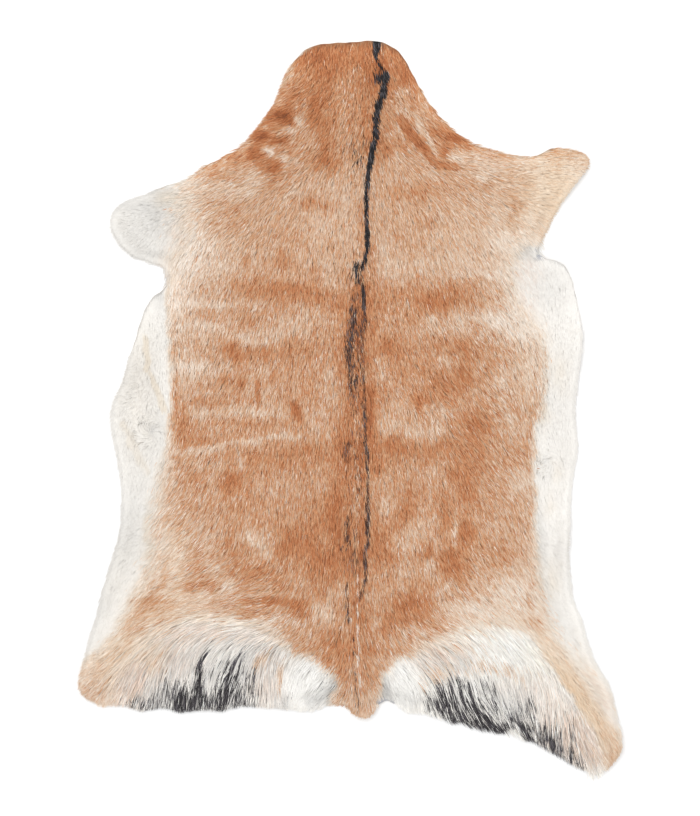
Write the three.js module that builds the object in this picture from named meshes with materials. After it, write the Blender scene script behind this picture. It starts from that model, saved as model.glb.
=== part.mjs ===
// Goatskin rug: one whole tanned hide with its hair on, lying flat with the neck towards +Y.
// Millimetres, +Z up. The origin is on the floor, under the middle of the hide's outline.
// The hide is one closed solid: the skin and its combed coat together, thick over the back and
// thighs, thin at the rim, with the long hair of the thighs ending in separate locks.
import * as THREE from 'three';

const hideLength = 950; // neck edge to the lower hind point
const hideWidth = 700; // hind point to hind point
const skinThickness = 1.4; // tanned skin alone
const backLoft = 5; // hair lying on the back and sides
const rimLoft = 1.6; // hair at the cut edge
const rimSoftness = 30; // the coat rises to its full height over this distance from the edge
const lumpHeight = 1.1; // unevenness of the combed coat
const lumpSize = 62;
const meshStep = 18; // spacing of points inside the outline
const rimStep = 10.5; // spacing of points along the short-haired rim
const lockStep = 6.3; // half the width of one lock of the long-haired rim
const lockDepth = 9; // how far the gaps between those locks reach in
const lockTipThickness = 1.2;
const rimRaggedness = 1.5; // in-and-out of the short-haired rim

// The outline as measured on a hide 700 wide and 950 long, clockwise from the middle of the neck
// edge. across is to the right of the centre line, down is from the neck edge towards the tail.
const pattern = { width: 700, length: 950 };
const neckRight = [
  { across: 0, down: 1 },
  { across: 38, down: 0 },
  { across: 64, down: 14 },
  { across: 79, down: 39 },
  { across: 99, down: 75 },
  { across: 120, down: 102 },
  { across: 142, down: 123 },
  { across: 164, down: 135 },
  { across: 194, down: 144 },
];
const foreLegRight = [
  { across: 222, down: 150 },
  { across: 237, down: 150 },
  { across: 257, down: 139 },
  { across: 273, down: 138 },
  { across: 294, down: 143 },
  { across: 304, down: 148 },
  { across: 310, down: 157 },
  { across: 293, down: 181 },
  { across: 271, down: 212 },
  { across: 254, down: 244 },
  { across: 243, down: 270 },
];
const flankRight = [
  { across: 247, down: 280 },
  { across: 266, down: 283 },
  { across: 281, down: 294 },
  { across: 290, down: 322 },
  { across: 297, down: 356 },
  { across: 299, down: 381 },
  { across: 294, down: 426 },
  { across: 289, down: 480 },
  { across: 293, down: 524 },
  { across: 286, down: 560 },
  { across: 283, down: 600 },
  { across: 284, down: 710 },
];
const hindLegRight = [
  { across: 297, down: 748 },
  { across: 310, down: 796 },
  { across: 334, down: 840 },
  { across: 343, down: 886 },
  { across: 350, down: 909 },
  { across: 343, down: 926 },
  { across: 321, down: 949 },
];
const thighRight = [
  { across: 301, down: 942 },
  { across: 271, down: 925 },
  { across: 246, down: 908 },
  { across: 233, down: 907 },
  { across: 215, down: 891 },
  { across: 191, down: 896 },
  { across: 152, down: 881 },
  { across: 133, down: 884 },
  { across: 114, down: 867 },
  { across: 103, down: 871 },
  { across: 71, down: 866 },
];
const tailFlap = [
  { across: 52, down: 855 },
  { across: 36, down: 857 },
  { across: 26, down: 872 },
  { across: 12, down: 875 },
  { across: -4, down: 860 },
  { across: -26, down: 857 },
];
const thighLeft = [
  { across: -46, down: 865 },
  { across: -67, down: 866 },
  { across: -114, down: 863 },
  { across: -148, down: 861 },
  { across: -165, down: 866 },
  { across: -200, down: 866 },
  { across: -218, down: 870 },
  { across: -234, down: 864 },
  { across: -252, down: 864 },
  { across: -271, down: 868 },
  { across: -288, down: 862 },
];
const hindLegLeft = [
  { across: -322, down: 857 },
  { across: -344, down: 847 },
  { across: -350, down: 836 },
  { across: -338, down: 787 },
  { across: -325, down: 742 },
  { across: -319, down: 710 },
];
const flankLeft = [
  { across: -306, down: 671 },
  { across: -295, down: 626 },
  { across: -294, down: 593 },
  { across: -299, down: 539 },
  { across: -307, down: 497 },
  { across: -306, down: 473 },
  { across: -294, down: 444 },
  { across: -281, down: 397 },
  { across: -268, down: 353 },
  { across: -257, down: 332 },
  { across: -239, down: 319 },
];
const foreLegLeft = [
  { across: -233, down: 304 },
  { across: -241, down: 292 },
  { across: -261, down: 285 },
  { across: -284, down: 276 },
  { across: -302, down: 255 },
  { across: -309, down: 233 },
  { across: -302, down: 218 },
  { across: -284, down: 206 },
  { across: -254, down: 195 },
  { across: -237, down: 185 },
];
const neckLeft = [
  { across: -222, down: 183 },
  { across: -204, down: 175 },
  { across: -187, down: 161 },
  { across: -161, down: 148 },
  { across: -138, down: 135 },
  { across: -111, down: 102 },
  { across: -95, down: 77 },
  { across: -79, down: 35 },
  { across: -68, down: 21 },
  { across: -54, down: 8 },
  { across: -32, down: 3 },
];

// Soft raised lines in the coat, where hair from two sides meets.
const ridges = [
  {
    name: 'spine',
    height: 1.9,
    halfWidth: 20,
    line: [
      { across: 33, down: 14 },
      { across: 26, down: 150 },
      { across: 18, down: 270 },
      { across: 5, down: 380 },
      { across: 6, down: 520 },
      { across: 11, down: 700 },
      { across: 12, down: 850 },
    ],
  },
  {
    name: 'left thigh parting',
    height: 2.4,
    halfWidth: 26,
    line: [
      { across: -90, down: 752 },
      { across: -170, down: 748 },
      { across: -250, down: 770 },
      { across: -325, down: 835 },
    ],
  },
  {
    name: 'right thigh parting',
    height: 2.4,
    halfWidth: 26,
    line: [
      { across: 120, down: 764 },
      { across: 200, down: 772 },
      { across: 262, down: 800 },
      { across: 325, down: 905 },
    ],
  },
];

// Where the hair is longer or shorter than on the back. extra adds to backLoft.
const coatLengths = [
  { name: 'left thigh', across: -170, down: 815, reach: 95, extra: 3 },
  { name: 'right thigh', across: 185, down: 845, reach: 100, extra: 3 },
  { name: 'rump patches', across: 5, down: 835, reach: 70, extra: 1.6 },
  { name: 'left foreleg', across: -270, down: 240, reach: 60, extra: -2 },
  { name: 'right foreleg', across: 270, down: 190, reach: 60, extra: -2 },
  { name: 'neck', across: 0, down: 60, reach: 80, extra: -0.6 },
];

// Where the dried skin stands a little off the floor at the rim.
const rimLifts = [
  { name: 'tail flap', across: 22, down: 872, reach: 40, lift: 5 },
  { name: 'left foreleg', across: -305, down: 245, reach: 55, lift: 4 },
  { name: 'right foreleg', across: 300, down: 190, reach: 60, lift: 5 },
  { name: 'right armpit', across: 262, down: 290, reach: 34, lift: 3 },
  { name: 'left flank', across: -300, down: 480, reach: 60, lift: 4 },
  { name: 'right flank', across: 294, down: 395, reach: 60, lift: 4 },
  { name: 'right loin', across: 285, down: 640, reach: 55, lift: 3 },
  { name: 'left hind point', across: -345, down: 830, reach: 45, lift: 3 },
  { name: 'right hind point', across: 345, down: 915, reach: 50, lift: 4 },
  { name: 'neck edge', across: -60, down: 12, reach: 45, lift: 3 },
];

// A point of the pattern in the part's own frame.
function place({ across, down }) {
  const x = (across * hideWidth) / pattern.width;
  const y = (0.5 - down / pattern.length) * hideLength;
  return new THREE.Vector2(x, y);
}

// A repeatable number from 0 to 1 for a pair of whole numbers.
function hash(i, j) {
  const wave = Math.sin(i * 127.1 + j * 311.7) * 43758.5453;
  return wave - Math.floor(wave);
}

// Smooth noise from -1 to 1, whose bumps are about one unit apart.
function noise(x, y) {
  const i = Math.floor(x);
  const j = Math.floor(y);
  const u = THREE.MathUtils.smootherstep(x - i, 0, 1);
  const v = THREE.MathUtils.smootherstep(y - j, 0, 1);
  const low = THREE.MathUtils.lerp(hash(i, j), hash(i + 1, j), u);
  const high = THREE.MathUtils.lerp(hash(i, j + 1), hash(i + 1, j + 1), u);
  return THREE.MathUtils.lerp(low, high, v) * 2 - 1;
}

// 1 at the middle of a spot, falling smoothly to 0 at its reach.
function spotShare(spot, point) {
  const away = place(spot).distanceTo(point) / spot.reach;
  return 1 - THREE.MathUtils.smootherstep(away, 0, 1);
}

function distanceToSegment(point, a, b) {
  const along = b.clone().sub(a);
  const share = point.clone().sub(a).dot(along) / along.lengthSq();
  const nearest = a.clone().addScaledVector(along, THREE.MathUtils.clamp(share, 0, 1));
  return nearest.distanceTo(point);
}

function distanceToLine(point, line, closed) {
  let least = Infinity;
  const count = closed ? line.length : line.length - 1;
  for (let i = 0; i < count; i++) {
    least = Math.min(least, distanceToSegment(point, line[i], line[(i + 1) % line.length]));
  }
  return least;
}

function isInside(point, outline) {
  let inside = false;
  for (let i = 0, j = outline.length - 1; i < outline.length; j = i++) {
    const a = outline[i];
    const b = outline[j];
    const crosses = a.y > point.y !== b.y > point.y;
    if (crosses && point.x < ((b.x - a.x) * (point.y - a.y)) / (b.y - a.y) + a.x) inside = !inside;
  }
  return inside;
}

// 1 along the thighs' long-haired edge, 0 along the rest of the rim.
const longHairedEdge = [...thighRight, ...thighLeft].map(place);
function longHairShare(point) {
  const away = Math.min(...longHairedEdge.map((spot) => spot.distanceTo(point)));
  return 1 - THREE.MathUtils.smoothstep(away, 14, 34);
}

// The rim: a smooth curve through the pattern, then every other point drawn in, so that the long
// hair ends in locks and the short hair in a slightly ragged edge.
function makeRim() {
  const stretches = [
    neckRight, foreLegRight, flankRight, hindLegRight, thighRight, tailFlap,
    thighLeft, hindLegLeft, flankLeft, foreLegLeft, neckLeft,
  ];
  const landmarks = stretches.flat().map((mark) => place(mark));
  const corners = landmarks.map((mark) => new THREE.Vector3(mark.x, mark.y, 0));
  const curve = new THREE.CatmullRomCurve3(corners, true, 'centripetal');
  const fine = curve.getSpacedPoints(2400);
  const stepLength = curve.getLength() / 2400;
  const rim = [];
  let sinceLast = Infinity;
  for (let i = 0; i < 2400; i++) {
    const point = new THREE.Vector2(fine[i].x, fine[i].y);
    const longHair = longHairShare(point);
    const wanted = THREE.MathUtils.lerp(rimStep, lockStep, longHair);
    sinceLast += stepLength;
    if (sinceLast < wanted * (0.85 + 0.3 * hash(rim.length, 5))) continue;
    sinceLast = 0;
    const before = fine[(i + 2399) % 2400];
    const after = fine[(i + 1) % 2400];
    const inward = new THREE.Vector2(after.y - before.y, before.x - after.x).normalize();
    const isTip = rim.length % 2 === 0;
    const depth = THREE.MathUtils.lerp(rimRaggedness, lockDepth, longHair);
    const drawnIn = isTip ? 0 : depth * (0.55 + 0.6 * hash(rim.length, 9));
    point.addScaledVector(inward, drawnIn);
    rim.push({ point, longHair, isTip });
  }
  return rim;
}

// Points inside the rim: crests of the ridges first, then a staggered grid that keeps clear of
// them and of the rim.
function makeInnerPoints(outline, ridgeLines) {
  const points = [];
  const clearOfRim = meshStep * 0.45;
  for (const line of ridgeLines) {
    const curve = new THREE.SplineCurve(line);
    const count = Math.round(curve.getLength() / meshStep);
    for (const point of curve.getSpacedPoints(count)) {
      if (isInside(point, outline) && distanceToLine(point, outline, true) > clearOfRim) {
        points.push(point);
      }
    }
  }
  const crests = points.slice();
  const rowStep = meshStep * Math.sqrt(0.75);
  const rows = Math.ceil(hideLength / rowStep);
  const columns = Math.ceil(hideWidth / meshStep);
  for (let row = 0; row <= rows; row++) {
    for (let column = 0; column <= columns; column++) {
      const x = (column + (row % 2) / 2 - columns / 2) * meshStep;
      const y = (row - rows / 2) * rowStep;
      const shift = new THREE.Vector2(hash(row, column) - 0.5, hash(column, row) - 0.5);
      const point = new THREE.Vector2(x, y).addScaledVector(shift, meshStep * 0.25);
      if (!isInside(point, outline)) continue;
      if (distanceToLine(point, outline, true) < clearOfRim) continue;
      if (crests.some((crest) => crest.distanceTo(point) < meshStep * 0.6)) continue;
      points.push(point);
    }
  }
  return points;
}

// A triangle with the centre and squared radius of the circle through its corners.
function circled(points, a, b, c) {
  const [p, q, r] = [points[a], points[b], points[c]];
  const d = 2 * (p.x * (q.y - r.y) + q.x * (r.y - p.y) + r.x * (p.y - q.y));
  const x = (p.lengthSq() * (q.y - r.y) + q.lengthSq() * (r.y - p.y) + r.lengthSq() * (p.y - q.y)) / d;
  const y = (p.lengthSq() * (r.x - q.x) + q.lengthSq() * (p.x - r.x) + r.lengthSq() * (q.x - p.x)) / d;
  return { corners: [a, b, c], x, y, radiusSq: (p.x - x) ** 2 + (p.y - y) ** 2 };
}

// Delaunay triangles of the points, added one at a time inside one large triangle.
function triangulate(given) {
  const far = 20 * hideLength;
  const count = given.length;
  const points = [
    ...given,
    new THREE.Vector2(-far, -far),
    new THREE.Vector2(far, -far),
    new THREE.Vector2(0, far),
  ];
  let triangles = [circled(points, count, count + 1, count + 2)];
  for (let i = 0; i < count; i++) {
    const open = new Map();
    triangles = triangles.filter((triangle) => {
      const away = (points[i].x - triangle.x) ** 2 + (points[i].y - triangle.y) ** 2;
      if (away >= triangle.radiusSq) return true;
      const [a, b, c] = triangle.corners;
      for (const [from, to] of [[a, b], [b, c], [c, a]]) {
        if (!open.delete(`${to},${from}`)) open.set(`${from},${to}`, [from, to]);
      }
      return false;
    });
    for (const [from, to] of open.values()) triangles.push(circled(points, from, to, i));
  }
  return triangles.map((triangle) => triangle.corners).filter((corners) => Math.max(...corners) < count);
}

const rim = makeRim();
const outline = rim.map((mark) => mark.point);
const ridgeLines = ridges.map((ridge) => ridge.line.map(place));
const inner = makeInnerPoints(outline, ridgeLines);

// Height of the skin's underside off the floor. It is 0 all over the middle of the hide.
function undersideHeight(point) {
  const lifts = rimLifts.map((spot) => spot.lift * spotShare(spot, point));
  return Math.max(0, ...lifts);
}

// Height of the combed coat above the skin, away from the rim.
function coatLoft(point) {
  let loft = backLoft;
  for (const spot of coatLengths) loft += spot.extra * spotShare(spot, point);
  ridges.forEach((ridge, i) => {
    const away = distanceToLine(point, ridgeLines[i], false) / ridge.halfWidth;
    loft += ridge.height * (1 - THREE.MathUtils.smoothstep(away, 0, 1));
  });
  const broad = noise(point.x / lumpSize, point.y / lumpSize);
  const narrow = noise((point.x * 2.3) / lumpSize + 40, (point.y * 2.3) / lumpSize + 40);
  return loft + lumpHeight * (0.7 * broad + 0.3 * narrow);
}

function thicknessInside(point) {
  const rise = THREE.MathUtils.smoothstep(distanceToLine(point, outline, true), 0, rimSoftness);
  return skinThickness + THREE.MathUtils.lerp(rimLoft, coatLoft(point), rise);
}

function thicknessAtRim(mark) {
  const shortHaired = skinThickness + rimLoft;
  const gap = shortHaired + 1.6;
  return THREE.MathUtils.lerp(shortHaired, mark.isTip ? lockTipThickness : gap, mark.longHair);
}

// The closed solid: the same triangles above and below, joined by a wall round the edge.
function makeHideGeometry() {
  const points = [...outline, ...inner];
  const thickness = [...rim.map(thicknessAtRim), ...inner.map(thicknessInside)];
  const centre = new THREE.Vector2();
  const triangles = triangulate(points).filter(([a, b, c]) => {
    centre.copy(points[a]).add(points[b]).add(points[c]).divideScalar(3);
    return isInside(centre, outline);
  });
  const count = points.length;
  const vertices = [];
  for (const point of points) vertices.push(point.x, point.y, undersideHeight(point));
  points.forEach((point, i) => {
    vertices.push(point.x, point.y, undersideHeight(point) + thickness[i]);
  });
  const faces = [];
  const edges = new Map();
  for (const [a, b, c] of triangles) {
    faces.push(a, c, b, a + count, b + count, c + count);
    for (const [from, to] of [[a, b], [b, c], [c, a]]) {
      if (!edges.delete(`${to},${from}`)) edges.set(`${from},${to}`, [from, to]);
    }
  }
  for (const [from, to] of edges.values()) {
    faces.push(from, to, to + count, from, to + count, from + count);
  }
  const geometry = new THREE.BufferGeometry();
  geometry.setAttribute('position', new THREE.Float32BufferAttribute(vertices, 3));
  geometry.setIndex(faces);
  geometry.computeVertexNormals();
  return geometry;
}

const hair = new THREE.MeshStandardMaterial({ color: 0xc9936a, roughness: 0.85, metalness: 0 });
const goatskin = new THREE.Mesh(makeHideGeometry(), hair);
goatskin.name = 'goatskin';

const part = new THREE.Group();
part.add(goatskin);

// The ragged rim can leave the outline a hair off centre, so the part is set on its middle.
const box = new THREE.Box3().setFromObject(part);
const middle = box.getCenter(new THREE.Vector3());
goatskin.position.set(-middle.x, -middle.y, -box.min.z);

export default part;
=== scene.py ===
import math
import bpy
import numpy as np
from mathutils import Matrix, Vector
from mathutils.geometry import delaunay_2d_cdt


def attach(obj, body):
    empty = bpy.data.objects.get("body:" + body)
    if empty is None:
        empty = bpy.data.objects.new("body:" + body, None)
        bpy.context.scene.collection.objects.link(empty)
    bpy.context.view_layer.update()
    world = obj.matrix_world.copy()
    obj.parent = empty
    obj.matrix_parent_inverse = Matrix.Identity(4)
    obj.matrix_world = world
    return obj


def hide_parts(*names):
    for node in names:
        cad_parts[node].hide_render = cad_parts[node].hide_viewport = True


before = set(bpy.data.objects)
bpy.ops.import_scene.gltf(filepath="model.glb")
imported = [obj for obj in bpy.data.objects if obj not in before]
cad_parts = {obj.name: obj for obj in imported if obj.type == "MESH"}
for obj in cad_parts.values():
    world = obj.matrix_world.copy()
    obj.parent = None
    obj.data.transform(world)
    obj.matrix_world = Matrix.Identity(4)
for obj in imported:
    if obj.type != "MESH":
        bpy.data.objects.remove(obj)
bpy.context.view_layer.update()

# Goatskin rug, hair side up, neck towards +Y. The charts below give places on the hide in
# millimetres: across to the right of the centre line, and down from the neck edge.
hide = dict(
    length=0.950,            # neck edge to the lower hind point, metres
    mapCell=0.002,           # spacing of the samples taken from the solid
    mapMargin=0.024,
    rimSmoothing=0.0015,     # evens out the solid's ragged rim
    seed=417,
)


def onHide(chart):
    # chart columns across, down in millimetres, to x, y in metres
    chart = np.asarray(chart, float).reshape(-1, 2) / 1000
    return np.column_stack([chart[:, 0], hide["length"] / 2 - chart[:, 1]])


def smoothStep(value, low, high):
    t = np.clip((value - low) / (high - low), 0, 1)
    return t * t * (3 - 2 * t)


def fromScreen(colour):
    # 0 to 255 screen colours to linear light
    c = np.asarray(colour, float) / 255
    return np.where(c <= 0.04045, c / 12.92, ((c + 0.055) / 1.055) ** 2.4)


# scatter's multipliers and masks, and a salt for each use of it, so that none repeats another
hashing = dict(across=374761393, along=668265263, salted=2147483647, stir=1274126177,
               word=0xFFFFFFFF, lot=0xFFFFFF)
salts = dict(tuft=31, wander=41, stripe=43, shade=51, lieTuft=61, strand=65, sway=71)


def scatter(i, j, salt):
    # a repeatable number from 0 to 1 for each pair of whole numbers
    h = i.astype(np.int64) * hashing["across"] + j.astype(np.int64) * hashing["along"]
    h = (h + salt * hashing["salted"]) & hashing["word"]
    h = ((h ^ (h >> 13)) * hashing["stir"]) & hashing["word"]
    return ((h ^ (h >> 16)) & hashing["lot"]) / float(hashing["lot"])


def softNoise(xy, size, salt):
    # smooth noise from -1 to 1 with bumps about size metres apart
    p = xy / size
    cell = np.floor(p).astype(np.int64)
    f = p - cell
    f = f * f * (3 - 2 * f)
    corners = [scatter(cell[:, 0] + a, cell[:, 1] + b, salt) for b in (0, 1) for a in (0, 1)]
    low = corners[0] + (corners[1] - corners[0]) * f[:, 0]
    high = corners[2] + (corners[3] - corners[2]) * f[:, 0]
    return (low + (high - low) * f[:, 1]) * 2 - 1


def nearestTuft(xy, size, salt):
    # each point's tuft: its centre and two random numbers of its own
    cell = np.floor(xy / size).astype(np.int64)
    best = np.full(len(xy), np.inf)
    centre = np.zeros_like(xy)
    lots = np.zeros((len(xy), 2))
    for a in (-1, 0, 1):
        for b in (-1, 0, 1):
            i, j = cell[:, 0] + a, cell[:, 1] + b
            c = np.column_stack([i + scatter(i, j, salt), j + scatter(i, j, salt + 1)]) * size
            gap = ((xy - c) ** 2).sum(1)
            closer = gap < best
            best = np.where(closer, gap, best)
            centre[closer] = c[closer]
            lots[closer, 0] = scatter(i, j, salt + 2)[closer]
            lots[closer, 1] = scatter(i, j, salt + 3)[closer]
    return centre, lots


def alongPath(xy, path):
    # distance of each point from a path, and how far along it the nearest place is, 0 to 1
    best = np.full(len(xy), np.inf)
    share = np.zeros(len(xy))
    steps = np.linalg.norm(np.diff(path, axis=0), axis=1)
    before = np.concatenate([[0], np.cumsum(steps)]) / steps.sum()
    for k in range(len(path) - 1):
        a, d = path[k], path[k + 1] - path[k]
        t = np.clip(((xy - a) @ d) / (d @ d), 0, 1)
        gap = np.hypot(*(xy - a - t[:, None] * d).T)
        closer = gap < best
        best = np.where(closer, gap, best)
        share = np.where(closer, before[k] + t * (before[k + 1] - before[k]), share)
    return best, share


def insideLoop(xy, loop):
    inside = np.zeros(len(xy), bool)
    for (x1, y1), (x2, y2) in zip(loop, np.roll(loop, -1, axis=0)):
        if y1 == y2:
            continue
        crosses = (y1 > xy[:, 1]) != (y2 > xy[:, 1])
        inside ^= crosses & (xy[:, 0] < (x2 - x1) * (xy[:, 1] - y1) / (y2 - y1) + x1)
    return inside


def signedGap(xy, loop):
    # distance to a closed loop, positive inside
    gap, _ = alongPath(xy, np.vstack([loop, loop[:1]]))
    return np.where(insideLoop(xy, loop), gap, -gap)


# The solid's shape: its rim, and the heights of its underside and its combed surface.
def readSolid():
    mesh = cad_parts["goatskin"].data
    mesh.calc_loop_triangles()
    co = np.empty(len(mesh.vertices) * 3)
    mesh.vertices.foreach_get("co", co)
    tris = np.empty(len(mesh.loop_triangles) * 3, int)
    mesh.loop_triangles.foreach_get("vertices", tris)
    corners = co.reshape(-1, 3)[tris.reshape(-1, 3)]
    normal = np.cross(corners[:, 1] - corners[:, 0], corners[:, 2] - corners[:, 0])
    normal /= np.linalg.norm(normal, axis=1)[:, None]
    return corners[normal[:, 2] > 0.05], corners[normal[:, 2] < -0.05]


def rimLoop(top):
    keys = np.round(top[:, :, :2] * 1e6).astype(np.int64)
    following = {}
    for k in keys:
        for i in range(3):
            a, b = tuple(k[i]), tuple(k[(i + 1) % 3])
            if following.get(b) is not None and a in following[b]:
                following[b].remove(a)
            else:
                following.setdefault(a, []).append(b)
    following = {a: b[0] for a, b in following.items() if b}
    loop = [next(iter(following))]
    while following[loop[-1]] != loop[0]:
        loop.append(following[loop[-1]])
    return np.array(loop, float) / 1e6


def evenLoop(loop, step):
    closed = np.vstack([loop, loop[:1]])
    run = np.concatenate([[0], np.cumsum(np.linalg.norm(np.diff(closed, axis=0), axis=1))])
    at = np.linspace(0, run[-1], int(round(run[-1] / step)), endpoint=False)
    return np.column_stack([np.interp(at, run, closed[:, k]) for k in (0, 1)])


def smoothLoop(loop, step, width):
    # a Gaussian of the given width along the loop
    reach = int(4 * width / step)
    offsets = np.arange(-reach, reach + 1)
    weights = np.exp(-0.5 * (offsets * step / width) ** 2)
    weights /= weights.sum()
    return sum(w * np.roll(loop, -k, axis=0) for k, w in zip(offsets, weights))


def heightMap(tris, xs, ys):
    grid = np.full((len(ys), len(xs)), np.nan)
    step = hide["mapCell"]
    for a, b, c in tris:
        low = np.minimum(np.minimum(a, b), c)
        high = np.maximum(np.maximum(a, b), c)
        i0, i1 = np.searchsorted(xs, [low[0], high[0] + step])
        j0, j1 = np.searchsorted(ys, [low[1], high[1] + step])
        gx, gy = np.meshgrid(xs[i0:i1], ys[j0:j1])
        area = (b[0] - a[0]) * (c[1] - a[1]) - (c[0] - a[0]) * (b[1] - a[1])
        if abs(area) < 1e-12 or not gx.size:
            continue
        u = ((b[0] - gx) * (c[1] - gy) - (c[0] - gx) * (b[1] - gy)) / area
        v = ((c[0] - gx) * (a[1] - gy) - (a[0] - gx) * (c[1] - gy)) / area
        w = 1 - u - v
        hit = (u > -1e-6) & (v > -1e-6) & (w > -1e-6)
        patch = grid[j0:j1, i0:i1]
        patch[hit] = (u * a[2] + v * b[2] + w * c[2])[hit]
    return grid


def fillOutward(grid):
    # copies the heights at the edge into the cells beyond it
    grid = grid.copy()
    for _ in range(30):
        empty = np.isnan(grid)
        if not empty.any():
            break
        total, count = np.zeros_like(grid), np.zeros_like(grid)
        for shift in ((0, 1), (0, -1), (1, 0), (-1, 0)):
            near = np.roll(grid, shift, axis=(0, 1))
            total += np.nan_to_num(near)
            count += ~np.isnan(near)
        usable = empty & (count > 0)
        grid[usable] = total[usable] / count[usable]
    return np.nan_to_num(grid)


topTris, underTris = readSolid()
loopStep = 0.002
rim = smoothLoop(evenLoop(rimLoop(topTris), loopStep), loopStep, hide["rimSmoothing"])
mapX = np.arange(rim[:, 0].min() - hide["mapMargin"], rim[:, 0].max() + hide["mapMargin"], hide["mapCell"])
mapY = np.arange(rim[:, 1].min() - hide["mapMargin"], rim[:, 1].max() + hide["mapMargin"], hide["mapCell"])
gridPoints = np.column_stack([g.ravel() for g in np.meshgrid(mapX, mapY)])
coatTop = fillOutward(heightMap(topTris, mapX, mapY))
skinUnder = fillOutward(heightMap(underTris, mapX, mapY))
rimGap = signedGap(gridPoints, rim[::3]).reshape(len(mapY), len(mapX))


def sampled(grid, xy):
    fx = np.clip((xy[:, 0] - mapX[0]) / hide["mapCell"], 0, len(mapX) - 1.001)
    fy = np.clip((xy[:, 1] - mapY[0]) / hide["mapCell"], 0, len(mapY) - 1.001)
    i, j = fx.astype(int), fy.astype(int)
    u, v = fx - i, fy - j
    low = grid[j, i] * (1 - u) + grid[j, i + 1] * u
    high = grid[j + 1, i] * (1 - u) + grid[j + 1, i + 1] * u
    return low * (1 - v) + high * v


print("read the solid:", len(rim), "rim points")

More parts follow.
